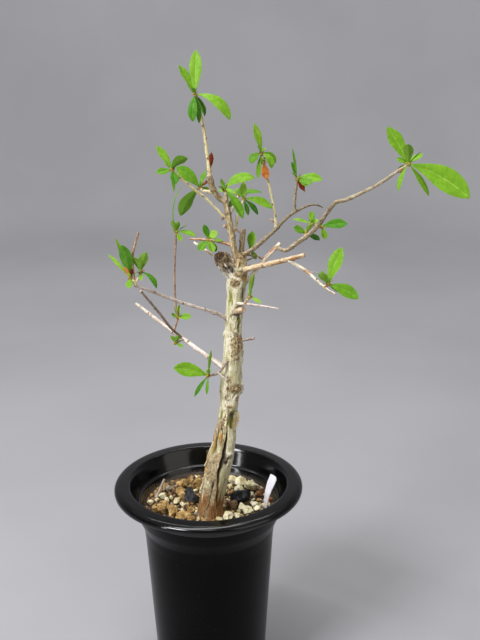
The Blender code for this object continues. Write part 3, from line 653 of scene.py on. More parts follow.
@dataclass(frozen=True)
class Limb:
    """A tapering limb: its foot, the runs it bends through, its bark and how it ends."""

    name: str
    foot: tuple[float, float, float]
    radius: float
    runs: tuple[Run, ...]
    bark: Bark = Bark.BROWN
    end: End = End.CUT
    knots: float = 8.0  # mm between the scars of old leaves, or 0 for none
    bleached: float = 2.0  # the share of its length from which the bark is pale


@dataclass
class Sweep:
    """A smooth centre line with its radii, its length so far, and the directions along it and square to it."""

    line: Array
    girth: Array
    distance: Array
    tangent: Array
    side: Array
    above: Array

    @classmethod
    def through(cls, foot: tuple, radius: float, runs: tuple[Run, ...], step: float, axis: int | None = None) -> Sweep:
        """The curve through a limb's corners.

        Between two corners it is a cubic with their ends and slopes, where each slope is parallel to the line
        between the corners before and after. The radius passes smoothly from one corner's to the next's.

        Args:
            foot: Where the centre line starts.
            radius: The radius there.
            runs: The limb's runs.
            step: The spacing of the places in millimetres.
            axis: The world axis that fixes the zero of the headings round the limb, or None for the one that the
                limb follows least.

        Returns:
            The sweep.
        """
        lengths = np.array([run.length for run in runs])
        legs = direction(np.array([run.heading for run in runs]), np.array([run.rise for run in runs]))
        places = np.array(foot, float) + np.concatenate((np.zeros((1, 3)), np.cumsum(legs * lengths[:, None], axis=0)))
        radii = np.array([radius] + [run.radius for run in runs])
        before = np.concatenate((2 * places[:1] - places[1:2], places[:-1]))
        after = np.concatenate((places[1:], 2 * places[-1:] - places[-2:-1]))
        slope = unit(after - before)
        counts = np.maximum(1, np.ceil(lengths / step)).astype(int)
        index = np.append(np.repeat(np.arange(len(runs)), counts), len(runs) - 1)
        t = np.append(np.concatenate([np.arange(count) / count for count in counts]), 1.0)[:, None]
        reach = lengths[index][:, None]
        line = places[index] * (2 * t**3 - 3 * t**2 + 1) + slope[index] * reach * (t**3 - 2 * t**2 + t)
        line += places[index + 1] * (3 * t**2 - 2 * t**3) + slope[index + 1] * reach * (t**3 - t**2)
        blend = (3 * t**2 - 2 * t**3)[:, 0]
        girth = radii[index] * (1 - blend) + radii[index + 1] * blend
        distance = np.append(0.0, np.cumsum(np.linalg.norm(np.diff(line, axis=0), axis=1)))
        tangent = unit(np.gradient(line, axis=0))
        chosen = int(np.abs(tangent).max(axis=0).argmin()) if axis is None else axis
        side = unit(np.cross(np.eye(3)[chosen], tangent))
        return cls(line, girth, distance, tangent, side, np.cross(tangent, side))

    def around(self, sides: int) -> Array:
        """The angles of the places on each ring, in radians, anticlockwise about the limb."""
        return np.linspace(0.0, math.tau, sides, endpoint=False)

    def outward(self, angle: Array) -> Array:
        """Unit vectors away from the centre line: cos angle times side plus sin angle times above."""
        return np.cos(angle)[..., None] * self.side[:, None] + np.sin(angle)[..., None] * self.above[:, None]

    def grain(self, sides: int, stretch: float) -> Array:
        """Places on the bark unrolled for the fibres: round the limb as it is, along it shrunk by the stretch.

        Args:
            sides: How many places each ring has.
            stretch: How many times longer than wide a fibre is.

        Returns:
            A vector for each place, by ring.
        """
        angle = self.around(sides)
        across = self.girth[:, None] * np.cos(angle), self.girth[:, None] * np.sin(angle)
        return np.stack((*across, np.repeat(self.distance[:, None] / stretch, sides, axis=1)), axis=-1)

    def skin(self, relief: Array, end: End, values: dict[str, Array], stretch: float = 5.0) -> Skin:
        """The limb's closed skin.

        A ring's points lie the radius plus the relief from the centre line. The rings after the last one shrink
        and move along the limb by the shares of the radius that its end's form gives.

        Args:
            relief: What the bark stands out, in millimetres, by ring and place on the ring.
            end: The form of the far end.
            values: Numbers at the same points, by name.
            stretch: How many times longer than wide the fibres are.

        Returns:
            The skin, with finish 0 on the bark and finish 1 on a cut or hollow end.
        """
        sides = relief.shape[1]
        out = self.outward(self.around(sides)[None])
        grid = self.line[:, None] + out * (self.girth[:, None] + relief)[..., None]
        ragged = 0.0 if end is End.TIP else 0.12
        tail = []
        for shrink, forward in END_RINGS[end]:
            uneven = 1.0 + ragged * noise(out[-1] * 9.0 + forward * 7.0, 4.0, 5)
            step = self.tangent[-1] * (self.girth[-1] * forward * uneven)[:, None]
            tail.append(self.line[-1] + (grid[-1] - self.line[-1]) * shrink + step)
        whole = np.concatenate((grid, np.stack(tail)))
        kept = {"grain": self.grain(sides, stretch), **values}
        kept = {name: np.concatenate((number, np.repeat(number[-1:], len(tail), axis=0))) for name, number in kept.items()}
        kept["grain"][-len(tail) :] = whole[-len(tail) :]
        rows = np.zeros(len(whole) - 1, int)
        rows[len(grid) :] = 0 if end is End.TIP else 1
        return Skin.rings(whole, rows, 0 if end is End.TIP else 1, kept)


@dataclass(frozen=True)
class Mark:
    """A place on the trunk, its size along and round it in millimetres, and what shows there."""

    height: float
    heading: float
    along: float
    across: float
    rise: float = 0.0
    scab: float = 0.0
    green: float = 0.0
    ochre: float = 0.0
    pale: float = 0.0


@dataclass(frozen=True)
class Flake:
    """A scrap of papery bark that peels from the trunk: its root, its size, and how far its free end stands off."""

    height: float
    heading: float
    length: float
    width: float
    lift: float
    rise: float = 90.0  # the way it points along the trunk: 90 up, -90 down


@dataclass
class Trunk:
    """The trunk, with plates of bark, corky scabs, knots, a split between two lobes, and peeling scraps."""

    limb: Limb
    marks: tuple[Mark, ...]
    flakes: tuple[Flake, ...]
    split: tuple[tuple[float, float], ...]  # height and heading of places up the split
    sides: int = 190
    step: float = 0.65
    crack_depth: float = 0.75
    split_depth: float = 2.2
    lobe: float = 1.2  # how far the bark left of the split stands up
    fibre_top: float = 188.0
    fibre_foot: float = 168.0

    def sweep(self) -> Sweep:
        """The trunk's centre line, with the headings counted from the right."""
        return Sweep.through(self.limb.foot, self.limb.radius, self.limb.runs, self.step, axis=1)

    def relief(self, sweep: Sweep) -> tuple[Array, dict[str, Array]]:
        """The bark's relief, and where it is deep, corky, green, ochre, pale or rusty.

        The relief is the sum of fibres drawn out along the trunk, of narrow cracks where another drawn noise
        passes through zero, of bells round each mark, of the split, of a root flare in lobes, and of strands at the
        foot. A mark's bell is e to the minus the squares of the distances along and round the trunk over the
        mark's sizes. Left of the split the bark stands up and falls away slowly; right of it the bark drops
        steeply and rises again as e to the minus the square of the distance over the gap's width.

        Args:
            sweep: The trunk's centre line.

        Returns:
            The relief in millimetres, and the values at the points by name.
        """
        angle = sweep.around(self.sides)[None]
        height = sweep.line[:, 2:3]
        radius = sweep.girth[:, None]
        place = sweep.grain(self.sides, 1.0)
        fibres = noise(place * (1.0, 1.0, 0.16), 1.4, 1) * 0.6 + noise(place * (1.0, 1.0, 0.2), 0.8, 2) * 0.4
        lumps = noise(place * (1.0, 1.0, 0.5), 5.0, 3)
        rough = noise(place, 1.5, 4) * 0.6 + noise(place, 0.75, 5) * 0.4
        flow = noise(place * (1.0, 1.0, 0.4), 1.8, 8)
        heights, headings = np.array(self.split).T
        seam = np.radians(np.interp(height, heights, headings))
        wander = 0.35 * noise(place * (0.0, 0.0, 1.0), 3.0, 9)
        gap = np.angle(np.exp(1j * (angle - seam))) * radius + wander
        flaky = np.clip((246.0 - height) / 12.0, 0.0, 1.0) * np.clip(0.6 - gap / 3.0, 0.0, 1.0)
        plates = np.abs(noise(place * (1.0, 1.0, 0.22), 3.4, 12))
        opened = np.clip(1.5 * noise(place * (1.0, 1.0, 0.4), 7.0, 13) + 0.7 * flaky, 0.0, 1.0)
        cracks = opened * np.exp(-((plates / 0.1) ** 2))
        depth = (0.12 + 0.25 * flaky) * fibres - self.crack_depth * cracks
        relief = 0.3 * lumps
        values = {name: np.zeros(relief.shape) for name in ("scab", "green", "ochre", "pale")}
        for mark in self.marks:
            turn = np.angle(np.exp(1j * (angle - math.radians(mark.heading))))
            bell = np.exp(-(((height - mark.height) / mark.along) ** 2) - (turn * radius / mark.across) ** 2)
            relief = relief + bell * (max(mark.rise, 0.0) + 0.6 * mark.scab * rough)
            depth = depth + bell * (min(mark.rise, 0.0) + 0.5 * mark.scab * rough)
            for name in values:
                values[name] = np.maximum(values[name], bell * getattr(mark, name))
        values["scab"] = np.maximum(values["scab"], 0.9 * np.clip(noise(place, 3.4, 10) - 0.35, 0.0, 1.0))
        values["pale"] = np.maximum(values["pale"], 0.42 * np.clip((height - 232.0) / 20.0, 0.0, 1.0))
        for name, grainy, edge in (("scab", rough, 0.2), ("green", flow, 0.2), ("ochre", flow, 0.25), ("pale", rough, 0.5)):
            values[name] = np.clip((values[name] + 0.38 * grainy - 0.35) / edge, 0.0, 1.0)
        weathered = noise(place * (1.0, 1.0, 0.45), 3.2, 14) + 0.5 * rough
        values["scab"] = np.maximum(values["scab"], 0.7 * flaky * np.clip((weathered + 0.15) / 0.35, 0.0, 1.0))
        flaked = 0.42 * flaky * np.clip((weathered + 0.5) / 0.4, 0.0, 1.0)
        inside = np.clip((height - heights[0]) / 6.0, 0, 1) * np.clip((heights[-1] - height) / 9.0, 0, 1)
        wide = 1.0 + 2.2 * np.exp(-(((height - 209.0) / 12.0) ** 2))
        drop = inside * np.clip(gap / 0.5, 0.0, 1.0) * np.exp(-((np.maximum(gap, 0.0) / wide) ** 2))
        drop = drop * (0.35 + 0.65 * np.clip((height - 188.0) / 12.0, 0.0, 1.0))
        relief = relief + self.lobe * inside * np.exp(np.minimum(gap, 0.0) / 5.0) * np.clip(1.0 - gap / 0.5, 0.0, 1.0)
        depth = depth - self.split_depth * drop
        foot = np.clip((self.fibre_top - height + 5.0 * lumps) / (self.fibre_top - self.fibre_foot), 0, 1)
        strands = noise(place * (1.0, 1.0, 0.07), 1.1, 6)
        depth = depth + foot * 0.5 * strands
        values["rust"] = np.maximum(flaked, np.clip((1.3 * foot + 0.5 * strands - 0.4) / 0.4, 0.0, 1.0))
        values["rust"] = np.maximum(values["rust"], 0.8 * inside * np.exp(-((gap / 1.6) ** 2)) * (height < 203.0))
        values["pale"] = values["pale"] * (1.0 - foot)
        flare = np.exp(-(height - height[0]) / 7.0)
        relief = relief + flare * (0.3 + 0.9 * np.cos(3 * angle + 0.9) ** 2)
        values["relief"] = depth
        return relief + depth, values

    def flake_skin(self, sweep: Sweep) -> Skin:
        """The peeling scraps: thin blades that start under the bark's face and curl away from it.

        A scrap's spine runs along the trunk, and stands off by the lift times the square of its share.

        Args:
            sweep: The trunk's centre line.

        Returns:
            The skin of all the scraps.
        """
        rows = 11
        share = np.linspace(0.0, 1.0, rows)[None, :, None]
        ring = np.array([int(np.abs(sweep.line[:, 2] - flake.height).argmin()) for flake in self.flakes])
        angle = np.radians([flake.heading for flake in self.flakes])
        out = np.cos(angle)[:, None] * sweep.side[ring] + np.sin(angle)[:, None] * sweep.above[ring]
        round_it = -np.sin(angle)[:, None] * sweep.side[ring] + np.cos(angle)[:, None] * sweep.above[ring]
        tip = np.radians([flake.rise for flake in self.flakes])[:, None]
        along = np.sin(tip) * sweep.tangent[ring] + np.cos(tip) * round_it
        length = np.array([flake.length for flake in self.flakes])[:, None, None]
        lift = np.array([flake.lift for flake in self.flakes])[:, None, None]
        foot = sweep.line[ring] + out * (sweep.girth[ring, None] - 0.35)
        spine = foot[:, None] + along[:, None] * length * share + out[:, None] * (0.5 + lift * share**2)
        tangent = unit(np.gradient(spine, axis=1))
        side = unit(np.cross(out[:, None], tangent))
        above = np.cross(tangent, side)
        width = np.array([flake.width for flake in self.flakes])[:, None]
        torn = 1.0 + 0.45 * noise(spine, 1.4, 31)
        half = 0.5 * width * torn * (1.0 - 0.75 * share[..., 0] ** 3)
        curl = 0.35 * half * share[..., 0]
        skin = blades(spine, side, above, half, np.full(half.shape, 0.14), curl, np.zeros(len(ring), int))
        skin.values["grain"] = skin.points * (1.0, 1.0, 0.2)
        return skin

    def build(self) -> list[bpy.types.Object]:
        """The trunk and its peeling scraps.

        Returns:
            The two pieces.
        """
        sweep = self.sweep()
        relief, values = self.relief(sweep)
        bark = BARKS[self.limb.bark].material()
        trunk = sweep.skin(relief, self.limb.end, values).piece("trunk_bark", [bark, CUT_WOOD.material()], 80.0)
        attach(trunk, BODY)
        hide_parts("trunk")
        scraps = self.flake_skin(sweep).piece("peeling_bark", [PAPER_BARK.material()] * 3, 80.0)
        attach(scraps, BODY)
        return [trunk, scraps]


@dataclass
class Boughs:
    """The leader, the boughs and the pruned stubs, each with ridged bark and the scars of old leaves."""

    limbs: tuple[Limb, ...]
    spurs: tuple[Limb, ...]
    slot: str = "brown_bark"
    step: float = 0.6
    sides: int = 36

    def relief(self, limb: Limb, sweep: Sweep, sides: int) -> tuple[Array, dict[str, Array]]:
        """A limb's relief: fine noise drawn out along it, a collar at its foot, and a ridge with a scar at each knot.

        A knot is a bell in the distance along the limb, higher on the side where its leaf stood, less a narrower
        bell for the scar. The bark is pale on the collar, in bands and on the side that faces the key light, where
        the pale is partly bleaching and partly painted highlight.

        Args:
            limb: The limb.
            sweep: Its centre line.
            sides: How many points each ring has.

        Returns:
            The relief in millimetres, and the values at the points by name.
        """
        chance = random.Random(limb.name)
        angle = sweep.around(sides)[None]
        distance, radius = sweep.distance[:, None], sweep.girth[:, None]
        place = sweep.grain(sides, 1.0)
        shift = chance.uniform(0.0, 90.0)
        drawn = place * (1.0, 1.0, 0.2) + shift
        ridged = noise(drawn, 0.9, 11) * 0.6 + noise(drawn, 0.5, 12) * 0.4
        depth = 0.10 * ridged + 0.08 * noise(place + shift, 3.0, 13) - 0.07
        collar = 0.32 * np.exp(-distance / 2.2)
        scab = 0.5 * np.clip(noise(place + shift, 2.2, 17) - 0.2, 0.0, 1.0)
        spot = 3.0 + chance.uniform(0.0, 3.0)
        heading = chance.uniform(0.0, math.tau)
        swell = np.zeros(depth.shape)
        while limb.knots and spot < sweep.distance[-1] - 1.5:
            turn = np.angle(np.exp(1j * (angle - heading)))
            ridge = np.exp(-(((distance - spot) / 0.9) ** 2))
            facing = np.clip(np.cos(turn), 0.0, 1.0) ** 2
            swell = swell + ridge * (0.06 + 0.24 * facing)
            depth = depth - 0.25 * np.exp(-(((distance - spot) / 0.4) ** 2) - (turn * radius / 0.5) ** 2)
            scab = np.maximum(scab, 0.8 * ridge * facing)
            spot += limb.knots * chance.uniform(0.7, 1.3)
            heading += math.radians(137.5)
        relief = radius * (depth + collar + swell)
        # painted highlight with some real bleaching: the bark turns paler on the side that faces the key light
        bleached_and_painted_lit = np.clip(sweep.outward(angle) @ np.array(BLEACH_AND_PAINTED_LIGHT_WAY), 0.0, 1.0)
        bands = noise(place * (0.2, 0.2, 1.0) + shift, 3.0, 18)
        flow = noise(place * (1.0, 1.0, 0.4) + shift, 1.0, 19)
        pale = 1.05 * bleached_and_painted_lit + 0.9 * np.exp(-distance / 3.0) + 0.3 * bands + 0.25 * flow
        pale = pale + 0.9 * np.clip((distance / distance[-1] - limb.bleached) * 8.0, 0.0, 1.0)
        values = {"pale": np.clip((pale - 0.6) / 0.3, 0.0, 1.0) * PALEST.get(limb.bark, 0.35)}
        rough = noise(place + shift, 0.7, 20)
        values["scab"] = np.clip((scab + 0.25 * rough - 0.2) / 0.25, 0.0, 1.0)
        values["relief"] = 4.0 * depth + 0.28
        if limb.bark is Bark.ROTTEN:
            crumbs = noise(place, 2.8, 14) + 0.55 * noise(place, 1.2, 15)
            relief = relief + 1.2 * crumbs
            values["scab"] = np.clip(0.4 + 1.6 * noise(place, 2.5, 16), 0.0, 1.0)
            values["relief"] = 0.9 * crumbs
            fibrous = noise(place * (1.0, 1.0, 0.2), 1.2, 21)
            # the knob's pale fibres, with painted highlight on the side towards the key light
            values["pale"] = np.clip(2.0 * fibrous + 2.0 - distance / 6.0 + 0.8 * bleached_and_painted_lit, 0.0, 1.0)
            values["scab"] = values["scab"] * (1.0 - values["pale"])
        return relief, values

    def skin(self, limb: Limb) -> Skin:
        """One limb's skin.

        Args:
            limb: The limb.

        Returns:
            Its skin, with the bark's numbers at its points.
        """
        sweep = Sweep.through(limb.foot, limb.radius, limb.runs, self.step)
        sides = 72 if limb.bark is Bark.ROTTEN else self.sides
        relief, values = self.relief(limb, sweep, sides)
        return sweep.skin(relief, limb.end, values)

    def build(self) -> list[bpy.types.Object]:
        """Every bough as its own piece, and the thorns and spent twigs joined in one.

        Returns:
            The pieces.
        """
        pieces = []
        for limb in self.limbs:
            finishes = [BARKS[limb.bark].material(), (ROTTEN_WOOD if limb.end is End.DEAD else CUT_WOOD).material()]
            piece = self.skin(limb).piece(f"{limb.name}_bark", finishes, 80.0)
            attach(piece, BODY)
            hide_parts(limb.name)
            pieces.append(piece)
        barks = sorted({spur.bark for spur in self.spurs}, key=lambda bark: bark.value)
        skins = []
        for spur in self.spurs:
            skin = self.skin(spur)
            skin.quad_finish = np.where(skin.quad_finish == 0, barks.index(spur.bark), len(barks))
            skin.triangle_finish = np.where(skin.triangle_finish == 0, barks.index(spur.bark), len(barks))
            skins.append(skin)
        finishes = [*(BARKS[bark].material() for bark in barks), CUT_WOOD.material()]
        thorns = Skin.joined(skins).piece("thorns_and_spent_twigs", finishes, 80.0)
        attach(thorns, BODY)
        return [*pieces, thorns]


# Foliage

SECTION = np.array(
    (
        (1.0, 0.0), (0.66, 1.0), (0.3, 1.0), (0.05, 1.0), (-0.05, 1.0), (-0.3, 1.0), (-0.66, 1.0),
        (-1.0, 0.0), (-0.66, -1.0), (-0.3, -1.0), (-0.05, -1.0), (0.05, -1.0), (0.3, -1.0), (0.66, -1.0),
    )
)  # fmt: skip
UPPER, MIDRIB, UNDER = 0, 1, 2
COLUMN_FINISH = np.array((UPPER, UPPER, UPPER, MIDRIB, UPPER, UPPER, UPPER) + (UNDER,) * 3 + (MIDRIB,) + (UNDER,) * 3)


def blades(
    spine: Array, side: Array, above: Array, half: Array, thick: Array, fold: Array, finish: Array, veins: Array | None = None
) -> Skin:
    """Thin closed blades, such as leaves, carried along their spines.

    Across the blade, s runs from -1 to 1. A point lies s times the half width sideways, and sinks by the fold times
    the square of 1 - |s|. The two faces stand off that middle by half the thickness times the root of 1 - s².

    Args:
        spine: The midribs' points by blade and by place along it.
        side: Unit vectors across each blade at those places.
        above: Unit vectors out of each upper face.
        half: Half the width at those places.
        thick: The thickness there.
        fold: How far the midrib sinks below the edges there.
        finish: The number of each blade's first finish.
        veins: How far the veins stand up, by blade, place along and place round the section.

    Returns:
        The skin of all the blades.
    """
    s, layer = SECTION.T
    height = layer * thick[..., None] / 2.0 * np.sqrt(1.0 - s**2) - fold[..., None] * (1.0 - np.abs(s)) ** 2
    if veins is not None:
        height = height + veins
    grid = spine[:, :, None] + side[:, :, None] * (half[..., None] * s)[..., None] + above[:, :, None] * height[..., None]
    return Skin.many(grid, COLUMN_FINISH, finish)


class Tone(Enum):
    """How old a leaf is and how much light it has had; the darker tones also stand as painted shade on leaves that
    hang.
    """

    SPRING = 0
    FRESH = 1
    GRASS = 2
    DEEP = 3
    SHADE = 4
    GOLD = 5
    ORANGE = 6
    RUST = 7


TONE_COLOURS = {
    Tone.SPRING: ("#86b031", "#78a426", "#9ec05e", "#8baf47"),
    Tone.FRESH: ("#75a226", "#66951c", "#91b44d", "#7aa23c"),
    Tone.GRASS: ("#60911c", "#538215", "#7ea540", "#699333"),
    Tone.DEEP: ("#4a8216", "#3e7410", "#6fa03c", "#5a8a2e"),
    Tone.SHADE: ("#336a10", "#295a0c", "#588434", "#447224"),
    Tone.GOLD: ("#dccb3a", "#c7b02a", "#e8de88", "#cfc25a"),
    Tone.ORANGE: ("#c87a35", "#ab5f26", "#dca060", "#b87c44"),
    Tone.RUST: ("#7c2a12", "#5f1e0e", "#9a4a2a", "#7a3a22"),
}
DRY = (Tone.ORANGE, Tone.RUST)


def blade_finishes() -> list[bpy.types.Material]:
    """For each tone, the finish of a leaf's upper face, its midrib and its underside.

    Returns:
        The materials, three for each tone in turn.
    """
    finishes = []
    for tone, (light, dark, rib, under) in TONE_COLOURS.items():
        word = tone.name.lower()
        gloss = 0.7 if tone in DRY else 0.5
        finishes += [
            Blade(f"{word}_leaf", gloss, 1.45, light, dark, shine=0.2).material(),
            Blade(f"{word}_midrib", 0.5, 1.45, rib, light, shine=0.2).material(),
            Blade(f"{word}_underside", 0.65, 1.45, under, light, shine=0.2).material(),
        ]
    return finishes


@dataclass(frozen=True)
class Leaf:
    """One leaf from its rosette: its size, its direction at the foot, how far it bends down and how far it turns."""

    length: float
    width: float
    heading: float
    rise: float
    droop: float = 20.0
    turn: float = 0.0
    tone: Tone | None = None


@dataclass(frozen=True)
class Rosette:
    """Leaves that spread from one place on a twig, told as a share of the twig's length."""

    along: float
    leaves: tuple[Leaf, ...]
    young: int = 0


@dataclass(frozen=True)
class Twig:
    """A tapering twig of a mass, the rosettes it carries, and its bark."""

    foot: tuple[float, float, float]
    radius: float
    runs: tuple[Run, ...]
    rosettes: tuple[Rosette, ...] = ()
    bark: Bark = Bark.STRAW


@dataclass(frozen=True)
class Mass:
    """One mass of foliage: twigs with their leaves, grown from a limb."""

    name: str
    twigs: tuple[Twig, ...]


@dataclass
class Foliage:
    """All the twigs, buds, leaves and dried leaves, each kind joined in one piece."""

    masses: tuple[Mass, ...]
    limbs: tuple[Limb, ...]
    foot_width: float = 0.9
    fold: float = 0.16  # how deep the midrib lies, as a share of half the width
    base_thickness: float = 0.3
    thickness_rate: float = 0.012  # of the leaf's length
    clearance: float = 0.6
    young_share: float = 0.38
    golden_angle: float = 137.5
    large_leaf: float = 18.0
    large_rows: int = 44
    small_rows: int = 18
    tooth: float = 0.05  # how far the fine teeth cut into the width
    bud_radius: float = 1.35

    def half_width(self, length: Array, width: Array, t: Array) -> Array:
        """Half a leaf's width: the width times the 0.78th power of sin(pi t^1.45), and never under the foot's.

        Args:
            length: The leaves' lengths.
            width: Their greatest widths.
            t: The share of the way from foot to tip, by leaf and row.

        Returns:
            Half the width there.
        """
        swell = np.sin(np.pi * np.clip(t, 0.0, 1.0) ** 1.45).clip(0.0, 1.0) ** 0.78
        foot = self.foot_width * np.sqrt(1.0 - t)
        return 0.5 * np.maximum(np.maximum(width[:, None] * swell, foot), 0.12 + 0.0 * length[:, None])

    def spines(self, places: Array, leaves: list[Leaf], rows: int) -> tuple[Array, Array, Array]:
        """The midribs of leaves: arcs whose rise falls evenly by the droop.

        A point is the foot plus the sum of short steps, each along the direction of the rise in its middle. The side
        is level and square to the leaf, and then turned about the midrib.

        Args:
            places: The leaves' feet.
            leaves: The leaves.
            rows: How many points each midrib has.

        Returns:
            The points, the directions across and the directions out of the upper face, by leaf and place.
        """
        heading = np.array([leaf.heading for leaf in leaves])[:, None]
        rise = np.array([leaf.rise for leaf in leaves])[:, None]
        droop = np.array([leaf.droop for leaf in leaves])[:, None]
        length = np.array([leaf.length for leaf in leaves])[:, None]
        turn = np.radians([leaf.turn for leaf in leaves])[:, None, None]
        t = np.linspace(0.0, 1.0, rows)[None]
        middle = rise - droop * (t[:, 1:] + t[:, :-1]) / 2.0
        steps = direction(heading + 0.0 * middle, middle) * (length / (rows - 1))[..., None]
        spine = places[:, None] + np.concatenate((np.zeros((len(leaves), 1, 3)), np.cumsum(steps, axis=1)), axis=1)
        along = direction(heading + 0.0 * t, rise - droop * t)
        level = direction(heading + 90.0 + 0.0 * t, 0.0 * t + 0.0 * heading)
        above = np.cross(along, level)
        side = level * np.cos(turn) + above * np.sin(turn)
        return spine, side, np.cross(along, side)

    def blade_skin(self, places: Array, leaves: list[Leaf], rows: int) -> Skin:
        """The skin of leaves with the same number of rows.

        The outline is cut back at every other row for the teeth. The side veins are waves that slant towards the tip.

        Args:
            places: Where the leaves are attached.
            leaves: The leaves.
            rows: How many rows of points each has.

        Returns:
            Their joined skin.
        """
        spine, side, above = self.spines(places, leaves, rows)
        length = np.array([leaf.length for leaf in leaves])
        width = np.array([leaf.width for leaf in leaves])
        t = np.linspace(0.0, 1.0, rows)[None]
        half = self.half_width(length, width, t + 0.0 * length[:, None])
        toothed = 1.0 - self.tooth * (np.arange(rows) % 2) * (width[:, None] > 4.0) * (t > 0.3)
        half = half * toothed
        thick = (self.base_thickness + self.thickness_rate * length)[:, None] * (1.0 - 0.5 * t)
        s = SECTION[:, 0]
        waves = np.sin(math.tau * (length[:, None, None] / 3.2 * t[..., None] - 1.1 * np.abs(s)))
        veins = 0.028 * half[..., None] * waves * (1.0 - np.abs(s)) * np.abs(s) * 4.0
        wave = np.sin(math.tau * 2.2 * t + places[:, :1] * 3.0)
        veins = veins + (0.05 * half * wave)[..., None] * s**2 * np.sign(s)
        finish = 3 * np.array([leaf.tone.value for leaf in leaves])
        kind = np.array([(leaf.length * 7.0, leaf.heading / 10.0, leaf.rise / 10.0) for leaf in leaves])
        fold = self.fold * (1.5 + 1.6 * noise(kind, 1.3, 61))[:, None] * half
        return blades(spine, side, above, half, thick, fold, finish, veins)

    def young_leaves(self, rosette: Rosette, chance: random.Random) -> list[Leaf]:
        """Small steep leaves in a rosette's middle, a golden angle apart.

        Args:
            rosette: The rosette.
            chance: The random numbers to draw from.

        Returns:
            The leaves.
        """
        longest = max(leaf.length for leaf in rosette.leaves)
        heading = chance.uniform(0.0, 360.0)
        made = []
        for _ in range(rosette.young):
            length = min(12.0, longest * self.young_share * chance.uniform(0.8, 1.2))
            made.append(Leaf(length, length * 0.3, heading, chance.uniform(35.0, 65.0), 20.0))
            heading += self.golden_angle
        return made

    def sprouts(self, chance: random.Random) -> list[Leaf]:
        """The smallest leaves round a bud and the dry scales that held it, a golden angle apart.

        Args:
            chance: The random numbers to draw from.

        Returns:
            The leaves and scales.
        """
        heading = chance.uniform(0.0, 360.0)
        made = []
        for number in range(9):
            dry = number >= 5
            length = chance.uniform(2.2, 3.4) if dry else chance.uniform(3.0, 6.0)
            dried = chance.choice((Tone.GOLD, Tone.GOLD, Tone.ORANGE, Tone.RUST))
            tone = dried if dry else chance.choice((Tone.SPRING, Tone.FRESH))
            rise = chance.uniform(-5.0, 45.0) if dry else chance.uniform(30.0, 75.0)
            made.append(Leaf(length, length * (0.55 if dry else 0.3), heading, rise, chance.uniform(-40.0, 30.0), 0.0, tone))
            heading += self.golden_angle
        return made

    def toned(self, leaf: Leaf, chance: random.Random) -> Leaf:
        """The leaf with a tone: paler for small and steep leaves, deeper for those that hang, where the deeper tone is
        partly the leaf's own and partly painted shade.

        Args:
            leaf: The leaf.
            chance: The random numbers to draw from.

        Returns:
            The same leaf with its tone.
        """
        if leaf.tone is not None:
            return leaf
        # partly painted shade: hanging leaves draw the darker tones, rising ones the lighter
        weights = (1.0, 5.0, 3.0, 0.6, 0.0) if leaf.rise > 0.0 else (0.3, 2.0, 4.0, 2.0, 0.3)
        if leaf.length < 11.0:
            weights = (4.0, 5.0, 1.0, 0.0, 0.0)
        tone = chance.choices(tuple(Tone)[:5], weights)[0]
        return Leaf(leaf.length, leaf.width, leaf.heading, leaf.rise, leaf.droop, leaf.turn, tone)

    def clear(self, places: Array, leaves: list[Leaf]) -> Array:
        """Whether each leaf's midrib and edges, its foot left out, stay clear of every limb.

        The distance from a point to a limb is the least one to its short straight spans.

        Args:
            places: Where the leaves are attached.
            leaves: The leaves.

        Returns:
            True for each leaf that stays clear.
        """
        starts, ends, girths = [], [], []
        for limb in self.limbs:
            sweep = Sweep.through(limb.foot, limb.radius, limb.runs, 4.0)
            starts.append(sweep.line[:-1])
            ends.append(sweep.line[1:])
            girths.append(sweep.girth[:-1])
        a, b, girth = np.concatenate(starts), np.concatenate(ends), np.concatenate(girths)
        rows = 13
        spine, side, _ = self.spines(places, leaves, rows)
        length = np.array([leaf.length for leaf in leaves])
        width = np.array([leaf.width for leaf in leaves])
        half = self.half_width(length, width, np.linspace(0.0, 1.0, rows)[None] + 0.0 * length[:, None])
        edge = side * half[..., None]
        samples = np.stack((spine, spine + edge, spine - edge), axis=2)[:, 2:].reshape(len(leaves), -1, 1, 3)
        span = b - a
        share = (((samples - a) * span).sum(-1) / (span * span).sum(-1)).clip(0.0, 1.0)
        gap = np.linalg.norm(samples - a - span * share[..., None], axis=-1) - girth
        return gap.min(axis=(1, 2)) > self.clearance

